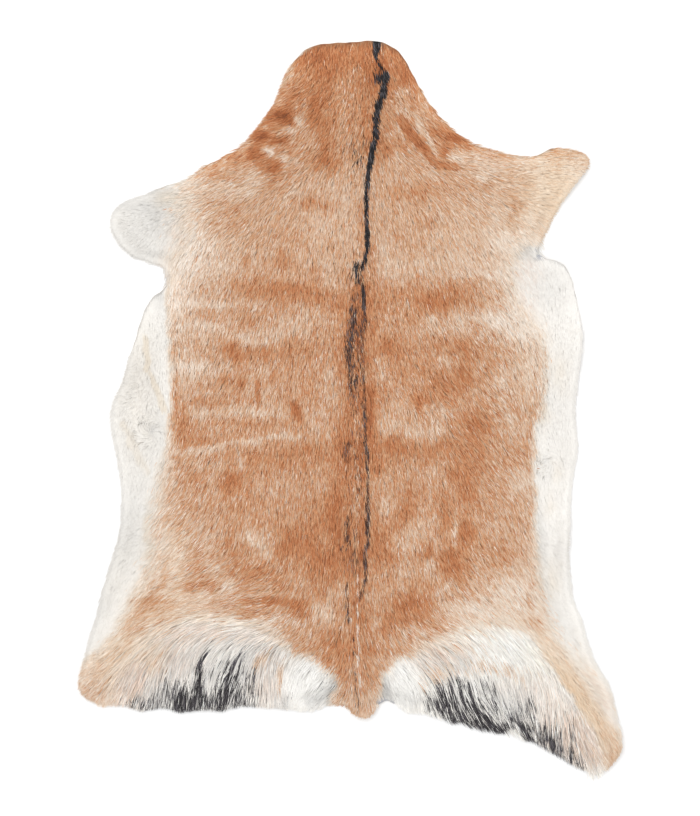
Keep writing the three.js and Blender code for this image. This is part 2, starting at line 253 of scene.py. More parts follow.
# The lie of the hair: across, down, and its heading in degrees from straight down the hide,
# positive towards the right.
hairLie = dict(
    reach=0.020,             # how far each mark counts, metres
    farPull=0.02,            # how much far marks and the lean away from the spine count
    leanRate=90,             # degrees away from the spine for each metre across
    mostLean=20,
    swirl=(0.35, 0.94),      # outward and round, in a whorl
    whorlCore=0.35,          # share of a whorl's reach that is all whorl
    marks=[
        (0, 20, 0), (-40, 30, -6), (-60, 45, -25), (-78, 65, -62), (-92, 92, -70), (-108, 122, -72),
        (-60, 100, -42), (-60, 140, -48), (-98, 160, -58), (-30, 120, -12), (-20, 200, -8),
        (-130, 150, -64), (-150, 172, -62), (-180, 188, -62), (-150, 222, -50), (-200, 228, -52),
        (-228, 200, -68), (-268, 212, -84), (-292, 238, -74), (-268, 262, -30), (-240, 258, -34),
        (-226, 288, -16), (-200, 262, -34), (-180, 300, -20), (-100, 240, -26), (-100, 300, -14),
        (-50, 280, -6), (60, 20, 12), (74, 50, 16), (90, 80, 22), (88, 108, 30), (112, 132, 44),
        (108, 160, 50), (138, 168, 66), (130, 122, 58), (170, 150, 74), (200, 160, 80),
        (230, 168, 84), (250, 182, 86), (270, 155, 78), (298, 160, 80), (270, 190, 78),
        (256, 214, 70), (150, 200, 42), (180, 220, 40), (220, 228, 54), (240, 250, 46),
        (200, 270, 30), (220, 292, 30), (150, 260, 24), (100, 200, 22), (100, 260, 14),
        (60, 200, 10), (60, 280, 5), (-220, 350, -12), (-220, 420, -10), (-150, 350, -16),
        (-150, 450, -20), (-220, 480, -12), (-226, 530, -24), (-232, 560, -36), (-236, 590, -52),
        (-230, 620, -58), (-242, 650, -44), (-200, 560, -22), (-200, 600, -28), (-200, 640, -38),
        (-150, 560, -16), (-150, 620, -10), (-100, 400, -14), (-100, 500, -9), (-100, 600, -5),
        (-50, 450, -6), (-50, 600, -3), (-50, 700, -3), (-248, 350, -3), (-264, 400, 8),
        (-252, 450, 26), (-244, 420, 3), (-282, 425, -96), (-284, 452, -80), (-294, 500, -12),
        (-290, 545, -5), (-280, 582, -5), (-272, 618, -50), (-288, 645, -92), (-286, 690, -26),
        (-302, 722, -15), (-312, 762, -22), (-260, 598, -6), (-255, 640, -22), (-266, 680, -32),
        (-272, 702, -46), (-250, 720, -66), (-280, 742, -58), (-300, 780, -56), (-325, 802, -62),
        (-336, 830, -50), (-312, 830, -42), (-200, 680, -54), (-200, 702, -76), (-160, 702, -44),
        (-200, 722, -82), (-230, 742, -70), (-260, 762, -60), (-196, 736, -87), (-150, 740, -89),
        (-120, 735, -84), (-100, 742, -70), (-80, 730, -40), (-60, 740, -16), (-40, 740, -5),
        (-150, 762, -80), (-120, 756, -74), (-100, 770, -88), (-62, 785, -62), (-40, 790, -46),
        (-182, 768, -68), (-220, 762, -60), (-250, 780, -48), (-282, 790, -50), (-260, 812, -12),
        (-230, 802, -6), (-200, 800, -13), (-178, 792, -26), (-150, 804, -26), (-130, 802, -18),
        (-110, 802, -5), (-92, 806, 0), (-282, 832, -24), (-292, 850, -20), (-250, 840, -8),
        (-220, 850, -3), (-200, 840, -6), (-165, 840, -16), (-140, 840, -15), (-120, 842, -3),
        (-98, 846, 14), (-66, 810, -22), (-56, 840, -25), (-40, 830, -42), (-78, 840, 0),
        (-30, 815, -50), (-26, 850, -54), (0, 800, 0), (10, 850, 0), (28, 842, 8), (26, 810, 8),
        (45, 808, 28), (60, 700, 3), (60, 750, 9), (50, 780, 20), (100, 650, 8), (100, 700, 10),
        (100, 740, 22), (100, 768, 60), (120, 780, 70), (80, 790, 55), (100, 800, 48),
        (84, 808, 26), (60, 820, 30), (72, 850, 24), (92, 840, 2), (50, 832, 44), (112, 800, 36),
        (140, 780, 62), (140, 752, 50), (160, 740, 44), (150, 720, 35), (150, 680, 28),
        (180, 700, 32), (200, 720, 36), (200, 680, 26), (230, 700, 30), (240, 660, 24),
        (246, 690, 28), (180, 760, 52), (170, 790, 28), (200, 790, 30), (220, 770, 44),
        (150, 810, 10), (130, 820, 5), (180, 820, 8), (210, 832, 8), (120, 850, 10),
        (140, 850, 16), (140, 870, 30), (160, 860, 26), (170, 880, 42), (190, 880, 38),
        (200, 860, 14), (218, 868, 8), (224, 890, 34), (236, 898, 46), (254, 870, -22),
        (260, 890, -12), (270, 902, -5), (280, 912, 5), (292, 922, 15), (240, 840, 14),
        (260, 840, 8), (280, 862, -6), (300, 900, 6), (312, 926, 20), (230, 742, 40),
        (250, 762, 40), (270, 792, 42), (290, 830, 38), (310, 862, 36), (330, 900, 32),
        (336, 922, 26), (260, 742, 42), (280, 770, 46), (300, 800, 50), (312, 830, 60),
        (326, 842, 56), (332, 870, 42), (264, 320, 5), (270, 400, 3), (286, 350, 3),
        (262, 450, 14), (256, 500, 12), (270, 600, 10), (270, 655, 88), (276, 700, 32),
        (276, 732, 26), (290, 772, 26), (300, 790, 34), (150, 320, 12), (200, 320, 30),
        (230, 320, 28), (200, 360, 28), (238, 380, 28), (240, 430, 14), (246, 470, 8),
        (225, 450, 16), (150, 400, 22), (150, 450, 28), (180, 480, 30), (150, 500, 32),
        (160, 550, 28), (200, 550, 35), (220, 580, 30), (230, 530, 14), (235, 600, 15),
        (200, 620, 18), (150, 600, 16), (150, 640, 22), (100, 400, 18), (100, 450, 22),
        (100, 500, 15), (100, 560, 8), (60, 400, 8), (60, 500, 5), (60, 600, 4), (220, 640, 20),
    ],
    # whorls: across, down, reach in millimetres; the hair turns outward round them
    whorls=[(-257, 506, 30), (255, 546, 22)],
)


def lieOfHair():
    marks = np.array(hairLie["marks"], float)
    places, turn = onHide(marks[:, :2]), np.radians(marks[:, 2])
    pull = np.column_stack([np.sin(turn), -np.cos(turn)])
    coarse = slice(None, None, 3)
    cx, cy = mapX[coarse], mapY[coarse]
    points = np.column_stack([g.ravel() for g in np.meshgrid(cx, cy)])
    total = np.zeros_like(points)
    # a weak lean away from the spine, where no mark is near
    most = hairLie["mostLean"]
    lean = np.radians(np.clip(points[:, 0] * hairLie["leanRate"], -most, most))
    total += hairLie["farPull"] * np.column_stack([np.sin(lean), -np.cos(lean)])
    for place, way in zip(places, pull):
        gap = ((points - place) ** 2).sum(1) / hairLie["reach"] ** 2
        total += (np.exp(-0.5 * gap) + hairLie["farPull"] / (1 + gap) ** 2)[:, None] * way
    total /= np.linalg.norm(total, axis=1)[:, None]
    for across, down, reach in hairLie["whorls"]:
        away = points - onHide((across, down))
        gap = np.linalg.norm(away, axis=1)
        out = away / np.maximum(gap, 1e-5)[:, None]
        around = np.column_stack([out[:, 1], -out[:, 0]])
        swirl = hairLie["swirl"][0] * out + hairLie["swirl"][1] * around
        core = hairLie["whorlCore"] * reach / 1000
        share = (1 - smoothStep(gap, core, reach / 1000))[:, None]
        total = total * (1 - share) + swirl * share
    fine = []
    for k in (0, 1):
        grid = total[:, k].reshape(len(cy), len(cx))
        rows = np.array([np.interp(mapX, cx, row) for row in grid])
        fine.append(np.array([np.interp(mapY, cy, column) for column in rows.T]).T)
    return fine


lieX, lieY = lieOfHair()


def headingAt(xy):
    return np.arctan2(sampled(lieX, xy), -sampled(lieY, xy))


print("laid out the lie of the hair")

# The coat's markings. Tan hair has a tone from -1, cream, through 0, pale tan, and 1, rust, to 2,
# dark brown. Rows of patches: across, down, half width, half height, turn in degrees if it has one,
# tone added.
coat = dict(
    tanTone=0.51,
    toneColours=[
        (-1.0, (243, 233, 222)), (-0.5, (235, 217, 199)), (0.0, (224, 197, 172)),
        (0.5, (211, 165, 126)), (1.0, (202, 134, 87)), (1.6, (171, 97, 53)), (2.3, (108, 64, 42)),
    ],
    patches=[
        # neck
        (0, 44, 90, 60, 0.3), (-70, 20, 34, 22, 0.3), (-34, 36, 36, 28, 0.4), (-50, 62, 20, 16, 0.1),
        (-47, 90, 8, 16, 15, 0.55), (-40, 108, 14, 8, 0.3), (-90, 97, 14, 8, -8, 0.85),
        (-78, 108, 12, 6, 0.5), (-106, 108, 8, 12, 0.4), (-115, 125, 13, 6, 1.0),
        (-91, 131, 11, 3.5, -12, 0.8), (-125, 150, 13, 8, 0.65), (-104, 163, 14, 8, 0.65),
        (-98, 162, 5, 8, 0.3), (-102, 182, 9, 12, 0.35), (-34, 138, 9, 24, 0.5), (-30, 160, 14, 12, 0.25),
        (-107, 145, 7, 5, 30, -1.5), (-86, 155, 6, 4, 30, -1.3), (-73, 155, 4, 3, 30, -1.0),
        (-109, 115, 3, 2.5, -1.3), (-92, 120, 10, 5, -0.45), (-67, 106, 9, 5, 40, -1.1),
        (-78, 118, 9, 4, 40, -0.7), (-66, 95, 8, 6, 40, -0.5), (-130, 180, 18, 15, -0.6),
        (-150, 200, 24, 9, -0.4), (-45, 182, 26, 16, -0.3), (-12, 62, 12, 26, -0.35),
        (-82, 45, 8, 18, -0.3), (60, 26, 14, 18, 0.2), (72, 46, 8, 14, 0.3), (66, 71, 8, 8, -0.45),
        (92, 76, 12, 12, -0.2), (134, 128, 20, 8, 8, 0.8), (144, 128, 10, 5, 30, 0.4),
        (112, 116, 9, 9, 0.35), (124, 148, 6, 13, 15, 0.45), (62, 118, 8, 20, -0.25),
        (66, 150, 9, 12, -0.45), (140, 151, 12, 6, -20, -0.6), (165, 150, 18, 8, -20, -0.3),
        (180, 165, 24, 16, -0.15),
        # shoulders
        (74, 196, 24, 9, 0.4), (96, 192, 12, 9, 0.3), (190, 230, 30, 30, -0.25), (200, 262, 12, 10, -0.5),
        (150, 240, 40, 24, -0.1), (218, 214, 9, 12, 0.25), (-150, 240, 42, 22, 0.1),
        (-190, 250, 20, 36, -0.25), (-86, 286, 12, 11, 0.4), (-137, 288, 6, 8, 0.5),
        (-50, 212, 12, 7, 0.55), (-30, 217, 6, 9, 0.5), (-40, 238, 20, 14, -0.25), (-10, 250, 12, 36, -0.1),
        (90, 237, 14, 9, 0.25), (65, 252, 10, 8, 0.2), (50, 290, 40, 9, -0.2), (-170, 290, 28, 30, -0.35),
        (150, 285, 58, 26, -0.35),
        # right foreleg
        (262, 196, 42, 50, -0.65), (250, 188, 7, 26, -0.55), (296, 172, 18, 26, -0.5),
        (236, 236, 13, 18, -0.6), (272, 156, 14, 7, 0.15), (225, 160, 30, 12, -0.3),
        # first bands behind the shoulders; the pale bands across the back are partly the coat's own colour
        # and partly painted sheen where the hair lies lifted
        (-100, 320, 80, 14, -4, 0.35), (-66, 322, 18, 9, 0.22), (-30, 330, 26, 12, 0.26),
        (-176, 314, 26, 10, 0.1), (108, 337, 20, 13, 0.5), (140, 324, 50, 14, 0.22), (60, 322, 30, 14, 0.2),
        (186, 316, 20, 16, -0.3), (-72, 360, 50, 14, -3, -0.45), (-190, 371, 40, 6, 2, -0.7),
        (-188, 342, 42, 6, -0.5), (-122, 346, 6, 10, -0.5), (140, 360, 9, 13, -0.9),
        (108, 363, 10, 10, -0.7), (190, 360, 32, 11, -0.95), (165, 372, 9, 6, 0.3),
        (52, 350, 10, 20, -0.15), (222, 384, 18, 12, -0.6), (86, 360, 8, 9, 0.15), (210, 376, 32, 12, -0.3),
        (20, 372, 16, 36, 0.45), (-8, 350, 8, 26, 0.25),
        # middle of the back
        (-195, 410, 30, 32, -0.25), (228, 430, 14, 52, -0.3), (-12, 415, 10, 24, 0.4),
        (-10, 530, 10, 32, 0.45), (92, 470, 10, 12, 0.55), (165, 540, 18, 42, 0.35), (20, 450, 12, 40, 0.2),
        (66, 440, 16, 24, 0.25), (-190, 393, 34, 11, 0.05), (-155, 397, 8, 10, 0.55),
        (-147, 413, 6, 7, 0.5), (-110, 402, 40, 9, 0.15), (-78, 393, 11, 10, 0.3), (60, 396, 22, 13, 0.3),
        (134, 414, 30, 22, 0.25), (142, 442, 24, 16, 0.4), (108, 440, 20, 14, 0.25),
        (150, 404, 10, 18, -30, 0.25), (-196, 426, 34, 8, -0.6), (-113, 448, 14, 24, -0.25),
        (-50, 420, 14, 16, -0.15), (-26, 462, 12, 40, -0.3), (-135, 482, 50, 7, -0.6),
        (-190, 484, 14, 8, -0.4), (-143, 446, 5, 10, 0.75), (-162, 440, 9, 8, 0.4), (-118, 453, 4, 12, 0.9),
        (-100, 437, 4, 8, 0.5), (-69, 480, 7, 13, -28, 0.95), (-216, 500, 13, 22, 0.25),
        (212, 430, 34, 52, -0.3), (196, 442, 9, 9, -0.5), (206, 490, 6, 10, -20, -0.5),
        (44, 420, 7, 18, -0.35), (60, 472, 15, 22, -0.5), (100, 478, 9, 9, -0.35), (112, 504, 10, 8, -0.45),
        (160, 488, 26, 17, 0.4), (118, 460, 16, 9, 0.3), (27, 484, 7, 46, 0.65), (56, 520, 24, 12, 0.45),
        # loin
        (-105, 541, 56, 12, 3, 0.3), (-50, 532, 30, 12, 0.35), (-160, 570, 13, 11, 0.75),
        (-160, 586, 12, 5, 12, 0.4), (-144, 548, 4, 8, -0.9), (-149, 595, 5, 5, -0.6),
        (-40, 575, 24, 14, -0.15), (-22, 602, 10, 36, 0.35), (-70, 606, 30, 14, -0.05),
        (-200, 585, 14, 18, -0.1), (-131, 640, 6, 13, -0.5), (-120, 652, 10, 15, -20, -0.6),
        (-106, 668, 7, 9, -0.65), (-160, 652, 12, 16, 0.3), (-80, 645, 24, 15, 0.25),
        (-30, 668, 28, 24, 0.55), (-36, 716, 12, 12, 0.2), (-43, 735, 12, 12, -0.6),
        (-200, 680, 16, 10, 0.15), (-130, 690, 22, 9, 0.25), (-92, 706, 14, 10, 0.25),
        (-160, 706, 14, 8, -35, -0.7), (-186, 716, 18, 10, -20, -0.55), (-102, 727, 26, 5, 4, 0.7),
        (-70, 738, 14, 10, 0.45), (-126, 742, 18, 4, 0.45), (-6, 792, 34, 30, 0.3),
        (-48, 772, 26, 14, 0.25), (-226, 655, 15, 44, -0.75), (-200, 640, 14, 20, -0.3),
        (141, 561, 13, 14, 0.5), (152, 590, 11, 14, 0.45), (45, 566, 9, 12, -0.4), (46, 598, 9, 8, -0.4),
        (76, 600, 7, 26, 0.4), (112, 560, 14, 18, -0.15), (66, 560, 14, 12, -0.25),
        (216, 572, 14, 20, -0.3), (84, 632, 13, 14, -0.65), (72, 668, 12, 16, -0.55),
        (101, 658, 5, 11, 0.8), (128, 668, 13, 13, 0.55), (134, 688, 14, 10, 0.45),
        (150, 635, 11, 14, 0.45), (38, 650, 14, 22, 0.3), (120, 608, 8, 10, -0.2), (80, 728, 24, 16, 0.5),
        (52, 744, 16, 14, 0.4), (124, 712, 14, 12, -0.65), (66, 772, 24, 9, -0.25),
        (200, 640, 30, 30, -0.15), (150, 738, 34, 14, -0.7), (205, 716, 18, 26, -0.5),
        (100, 764, 22, 8, -0.3), (205, 748, 20, 10, -0.1), (137, 637, 3, 12, -0.9),
        (226, 690, 12, 34, -0.45), (120, 605, 12, 16, 0.45), (150, 660, 12, 40, 0.25),
        (-32, 635, 30, 48, 0.35), (-110, 660, 24, 22, 0.25), (38, 620, 20, 22, 0.35),
        (-95, 758, 40, 16, -0.35), (175, 722, 32, 22, -0.35), (-29, 740, 10, 18, -0.6),
        (33, 755, 6, 8, -0.4),
        # broad darker patches
        (45, 345, 24, 16, 0.25), (115, 348, 26, 10, 0.25), (40, 456, 22, 14, 0.3), (42, 540, 26, 18, 0.45),
        (125, 520, 28, 12, 0.3), (72, 622, 14, 14, 0.4), (42, 664, 28, 12, 0.35), (125, 714, 26, 24, 0.35),
        (95, 752, 32, 14, 0.35), (-125, 409, 46, 9, 0.25), (-125, 500, 40, 12, 0.25),
        (-148, 575, 12, 36, 0.25), (-205, 707, 26, 7, 0.45), (-260, 727, 22, 9, 0.4),
        (-52, 736, 22, 14, 0.35), (-14, 600, 9, 40, 0.25), (-118, 134, 16, 18, 0.5),
        (-82, 70, 12, 12, 0.35), (20, 30, 34, 34, 0.35), (36, 124, 14, 36, 0.3), (-42, 166, 24, 16, 0.25),
        (70, 132, 10, 12, 0.4), (-150, 155, 12, 14, 0.3), (10, 750, 9, 24, 0.45), (-215, 650, 12, 24, 0.3),
        (-80, 655, 18, 16, 0.25), (-190, 520, 20, 12, 0.25), (220, 222, 14, 16, 0.3),
        (78, 60, 12, 26, 0.25), (125, 145, 10, 8, 0.3),
        # broad lighter patches
        (-185, 318, 22, 14, -0.35), (-80, 309, 46, 7, -0.4), (140, 304, 44, 7, -0.35),
        (188, 300, 14, 46, -0.35), (-190, 386, 38, 8, -0.3), (-210, 440, 20, 34, -0.35),
        (120, 414, 12, 16, -0.4), (140, 378, 46, 7, -0.35), (130, 486, 34, 7, -0.25),
        (218, 505, 12, 18, -0.25), (226, 570, 10, 14, -0.3), (-48, 480, 16, 24, -0.25),
        (44, 272, 8, 10, -0.35), (58, 304, 14, 7, -0.4), (165, 165, 34, 16, -0.25),
        (75, 190, 20, 10, -0.25), (70, 235, 12, 12, -0.2), (-180, 190, 24, 12, -0.2),
        (-150, 268, 20, 14, -0.2), (-32, 650, 9, 12, -0.4), (-180, 666, 14, 26, -0.3),
        (-120, 646, 24, 10, -0.25), (100, 650, 12, 10, -0.25), (100, 683, 12, 7, -0.25),
        (-276, 704, 14, 10, -0.4), (-298, 744, 10, 14, -0.3), (-56, 772, 14, 10, -0.35),
        (-130, 792, 24, 8, -0.25), (225, 254, 30, 10, -0.4), (285, 210, 16, 36, -30, -0.3),
        (240, 424, 10, 30, -0.45), (-28, 290, 10, 12, -0.3), (10, 862, 44, 16, -0.35),
        (245, 770, 18, 24, -36, -0.45), (325, 900, 18, 40, -36, -0.45), (190, 690, 24, 12, -0.2),
        (-224, 330, 16, 50, -0.65), (-110, 356, 44, 9, 0.35), (-130, 386, 44, 8, -0.25),
        (-92, 58, 12, 20, -0.25), (78, 36, 12, 20, 0.2), (-212, 300, 18, 26, -0.45),
        (-122, 371, 40, 6, 0.3), (188, 376, 14, 8, -0.3), (-345, 812, 26, 26, -0.4),
        (268, 190, 40, 46, -0.15), (288, 822, 16, 56, -36, -0.4), (0, 44, 90, 60, 0.06),
        (-12, 350, 12, 14, 0.2), (50, 512, 30, 8, -0.2), (165, 420, 12, 12, -0.2),
        (-160, 506, 60, 7, -0.15), (-195, 548, 12, 12, -0.3), (45, 736, 10, 12, -0.3),
        (122, 398, 18, 10, 0.25), (60, 405, 22, 16, 0.2), (40, 565, 30, 8, 0.25), (92, 68, 10, 14, 0.3),
        (128, 112, 12, 8, 0.3), (84, 128, 8, 12, -0.3), (105, 165, 26, 14, -0.15), (185, 178, 20, 8, -0.25),
        (90, 225, 34, 8, -0.2), (-15, 205, 16, 12, -0.25), (-150, 190, 40, 10, -0.12),
        (-70, 200, 12, 10, -0.25), (-236, 560, 10, 36, -0.35), (-224, 350, 14, 20, -0.3),
        (-125, 367, 30, 6, 0.2), (-115, 393, 24, 6, -0.25), (58, 476, 12, 12, 0.25), (95, 488, 8, 12, 0.25),
        (27, 506, 6, 14, 0.35), (-58, 405, 14, 10, 0.25), (-10, 486, 10, 24, 0.2), (38, 536, 8, 12, -0.3),
        (-90, 576, 12, 10, -0.2), (188, 580, 10, 10, -0.3), (232, 576, 10, 10, -0.3),
        (114, 612, 8, 14, -0.3), (-168, 632, 10, 12, -0.2), (-108, 655, 10, 12, -0.25),
        (-4, 714, 12, 14, -0.3), (232, 672, 8, 26, -0.25), (-210, 712, 22, 14, 0.25),
        (-178, 692, 14, 10, -0.2), (280, 802, 12, 40, -36, -0.2), (232, 748, 10, 12, -0.3),
        (-50, 56, 22, 12, -0.15), (16, 52, 12, 14, -0.2), (278, 208, 12, 56, 32, -0.25),
        (236, 184, 8, 18, 0.3), (268, 142, 16, 8, 0.3), (215, 272, 12, 10, -0.3), (190, 292, 10, 8, 0.2),
        (60, 655, 40, 10, -0.18), (32, 622, 20, 14, -0.12), (-122, 628, 10, 10, 0.2),
        (-175, 668, 8, 10, 0.2), (102, 674, 8, 8, 0.2), (22, 662, 7, 12, 0.25), (200, 756, 16, 8, 0.25),
        (-138, 378, 12, 8, 0.25), (-140, 349, 30, 6, -0.2), (65, 394, 12, 7, -0.3),
        (165, 472, 12, 16, -0.2), (90, 516, 40, 8, -0.15), (-76, 470, 6, 8, -0.3),
        (300, 868, 24, 60, -34, -0.15),
        # small darker patches
        (40, 42, 9, 16, 0.3), (60, 140, 20, 12, 0.35), (16, 232, 9, 26, 0.3), (-60, 338, 26, 9, 0.3),
        (141, 348, 11, 14, 0.35), (45, 402, 8, 12, 0.35), (186, 425, 16, 26, 0.25), (90, 472, 14, 9, 0.25),
        (-172, 470, 28, 11, 0.2), (100, 534, 34, 12, 0.3), (38, 556, 13, 9, 0.25),
        (-198, 570, 12, 12, 0.25), (-224, 625, 13, 18, 0.3), (124, 620, 9, 24, 0.3), (68, 670, 16, 12, 0.3),
        (195, 668, 12, 24, 0.25), (-181, 708, 14, 10, 0.55), (134, 722, 10, 9, 0.3), (52, 765, 12, 8, 0.35),
        (114, 766, 18, 8, 0.4), (-80, 102, 14, 10, 0.45), (-250, 762, 20, 12, -30, 0.3),
        (80, 106, 8, 10, 0.3), (20, 132, 9, 30, 0.25), (-20, 480, 12, 20, 0.2), (-50, 460, 10, 20, 0.2),
        (-28, 815, 12, 12, 0.2),
        # small lighter patches
        (4, 46, 8, 20, -0.45), (-74, 42, 26, 14, -0.22), (70, 104, 9, 22, -0.35),
        (-199, 338, 11, 16, -0.35), (-100, 376, 56, 11, -0.3), (104, 322, 14, 11, -0.3),
        (-30, 318, 14, 9, -0.25), (88, 504, 40, 11, -0.35), (5, 620, 7, 76, -0.4), (48, 610, 10, 11, -0.4),
        (-30, 655, 13, 14, -0.3), (-98, 642, 14, 10, -0.22), (-277, 708, 10, 10, -0.45),
        (-301, 744, 9, 12, -0.35), (-210, 750, 16, 10, -0.4), (130, 425, 14, 24, -0.2),
        (155, 778, 44, 10, -0.3), (230, 620, 12, 22, -0.25), (-168, 570, 12, 30, -0.2),
        (-165, 340, 20, 14, -0.25), (-235, 530, 9, 16, -0.3), (228, 340, 16, 14, -0.25),
        (24, 440, 22, 9, -0.25), (-137, 136, 9, 9, -0.4), (60, 318, 16, 9, -0.2), (-120, 240, 16, 12, -0.2),
        (-215, 262, 12, 26, -0.3), (80, 78, 24, 28, -0.1), (104, 690, 12, 16, -0.2),
        (222, 715, 10, 30, -0.25),
        # shoulders, spine and right leg
        (-190, 235, 14, 12, 0.18), (-98, 258, 18, 10, 0.18), (-155, 178, 24, 9, 0.22),
        (-70, 188, 20, 10, 0.18), (62, 206, 14, 9, 0.22), (22, 282, 7, 16, 0.5), (8, 815, 8, 14, -0.25),
        (30, 852, 8, 18, -0.35), (-268, 755, 30, 8, -51, 0.25), (312, 848, 12, 70, -32, -0.3),
        (258, 780, 9, 32, -32, -0.25), (-18, 318, 14, 10, -0.15), (-296, 795, 9, 9, 0.5),
        (-286, 760, 12, 8, -50, 0.35), (-336, 838, 14, 8, 0.25), (-262, 745, 18, 3.5, -40, -0.3),
        (-302, 777, 16, 4, -50, -0.45), (-215, 735, 22, 4, -20, -0.45),
        # hind legs
        (-278, 738, 16, 11, 0.35), (-250, 727, 16, 8, 0.2), (-322, 844, 12, 12, 0.4),
        (-240, 722, 48, 28, -0.4), (-325, 825, 34, 30, -0.35), (-255, 724, 20, 9, 0.15),
        (-240, 736, 14, 5, 0.25), (-272, 690, 16, 14, -0.4), (-300, 797, 9, 10, 0.1),
        (-335, 840, 18, 10, -0.15), (-300, 800, 50, 40, -0.35), (240, 760, 8, 20, -30, 0.4),
        (300, 850, 16, 60, -38, -0.4), (266, 805, 15, 34, -36, -0.35),
    ],
    # streaks: half width, tone added, then across, down along them
    streaks=[
        (5.5, 0.80, [(66, 102), (74, 115), (83, 126), (92, 136)]),
        (5.0, 0.60, [(92, 136), (100, 146), (108, 158), (125, 165), (142, 168)]),
        (1.8, -0.35, [(61, 95), (65, 110), (70, 128), (78, 142)]),
        (4.0, -0.55, [(88, 98), (91, 112), (98, 124)]),
        (3.2, -0.50, [(98, 124), (104, 134), (111, 148)]),
        # a pale band across the loin, partly the coat's colour and partly painted sheen
        (3.5, -0.55, [(-66, 513), (-80, 512), (-120, 518), (-160, 523), (-180, 530), (-226, 534)]),
        (12, 0.45, [(15, 330), (5, 380), (5, 440), (9, 500), (8, 560), (8, 640), (6, 720)]),
        (5, 0.30, [(-240, 706), (-262, 724), (-285, 745), (-305, 775)]),
        (1.6, 0.55, [(262, 778), (280, 802), (294, 824), (304, 844), (312, 862)]),
        (1.6, 0.45, [(312, 862), (320, 880), (332, 900)]),
        (1.2, 0.50, [(262, 806), (276, 824), (288, 842)]),
        (1.4, 0.45, [(300, 874), (312, 892), (324, 912), (332, 928)]),
    ],
    # paler over the shoulders: where that begins and ends down the hide, and the tone added
    shoulderPale=dict(top=(140, 195), foot=(291, 313), tone=-0.19),
    reshuffle=(7.31, 5.37),
    grain=dict(broad=0.10, tuft=0.08, strand=0.38, hair=1.15),
    broadSize=0.022,         # metres
    tuftSize=0.0065,
    wander=dict(size=0.012, reach=0.003),        # how far a marking's edge wanders, metres
    stripeWander=dict(size=0.006, reach=0.0008),
    stripeNudge=0.2,         # and how much of that the dark stripe's edges follow
    liveliness=1.05,         # how much the tan hair's noise counts
    rustTones=(0.35, 1.15),
    rustCalm=0.32,           # how much evener the rust hair is than the pale tan hair
    shoulderCalm=0.15,
    paintedRimShadeReach=0.002,     # metres, how far in the painted shadow along the rim reaches
    edgeFade=0.75,           # how far the tone falls towards the tan area's soft edges
    edgeShares=(0.45, 1.0),
    creamHairs=0.125,        # share of single cream hairs among the tan ones
    creamDrop=0.9,           # how much paler they are, in tone
    creamLots=(0.6, 0.4),    # how far hair and strand decide which they are
    areaLots=(0.5, 0.3, 0.2),    # how far hair, strand and tuft decide which hairs are tan
    darkHairs=0.07,
    darkRise=0.7,
    # where more of the tan hairs are cream: rows as the patches, with the share
    creamPatches=[
        (0, 50, 90, 60, 0.05), (-225, 655, 20, 50, 0.25), (-290, 770, 46, 60, -40, 0.35),
        (-335, 840, 26, 24, 0.3), (-170, 715, 60, 16, 0.2), (160, 730, 60, 24, 0.28),
        (215, 720, 24, 36, 0.25), (150, 775, 50, 12, 0.3), (300, 850, 30, 90, -38, 0.3),
        (262, 200, 46, 60, 0.22), (214, 430, 34, 60, 0.1), (-200, 270, 22, 60, 0.3),
        (100, 765, 60, 12, 0.2), (-100, 752, 50, 14, 0.25), (-240, 722, 44, 24, 0.2),
        (225, 370, 26, 22, 0.2), (9, 480, 8, 170, 0.22),
    ],
    # yellower tan on the legs: share of the ochre
    ochre=(232, 208, 178),
    ochrePatches=[
        (266, 198, 46, 56, 0.65), (288, 850, 24, 90, -36, 0.8), (-300, 780, 60, 60, -40, 0.35),
        (-240, 725, 50, 24, 0.2), (-225, 655, 16, 44, 0.25), (228, 430, 12, 60, 0.15),
    ],
)
# The tan area's edge, and how soft it is: across, down, softness, all in millimetres.
tanEdge = [
    (-32, -12, 3), (-110, 60, 3), (-170, 125, 3), (-214, 165, 26), (-213, 200, 30), (-209, 235, 30),
    (-208, 268, 26), (-222, 292, 16), (-232, 312, 7), (-234, 334, 5), (-234, 356, 5), (-233, 380, 5),
    (-231, 411, 5), (-231, 440, 4), (-231, 480, 4), (-236, 520, 5), (-242, 556, 9), (-246, 590, 13),
    (-248, 620, 16), (-248, 660, 18), (-258, 690, 17), (-275, 713, 14), (-288, 743, 12),
    (-303, 772, 11), (-328, 792, 10), (-360, 815, 8), (-360, 862, 8), (-324, 862, 14), (-312, 836, 16),
    (-296, 806, 18), (-278, 782, 18), (-254, 764, 18), (-232, 752, 15), (-204, 745, 12),
    (-152, 747, 12), (-124, 752, 12), (-96, 771, 11), (-74, 792, 11), (-52, 802, 9), (-26, 818, 7),
    (-15, 836, 7), (-28, 858, 8), (0, 880, 5), (32, 880, 5), (40, 850, 5), (45, 822, 6), (60, 804, 8),
    (88, 790, 12), (112, 778, 15), (140, 766, 19), (172, 753, 21), (206, 752, 18), (236, 764, 10),
    (248, 782, 7), (257, 800, 5), (268, 820, 5), (283, 840, 5), (298, 862, 5), (309, 880, 5),
    (322, 900, 5), (328, 918, 6), (333, 935, 7), (342, 960, 7), (362, 960, 5), (362, 920, 5),
    (349, 898, 6), (334, 882, 5), (320, 862, 5), (308, 840, 5), (297, 820, 5), (284, 802, 6),
    (272, 786, 7), (258, 764, 10), (244, 730, 12), (243, 700, 10), (240, 665, 7), (239, 600, 5),
    (237, 550, 5), (239, 500, 5), (246, 480, 6), (252, 450, 8), (253, 412, 10), (246, 388, 14),
    (230, 368, 18), (214, 350, 18), (205, 325, 16), (203, 302, 18), (209, 280, 18), (228, 262, 10),
    (262, 262, 4), (320, 180, 3), (320, 125, 3), (250, 125, 3), (170, 125, 3), (110, 70, 3),
    (70, -12, 3),
]
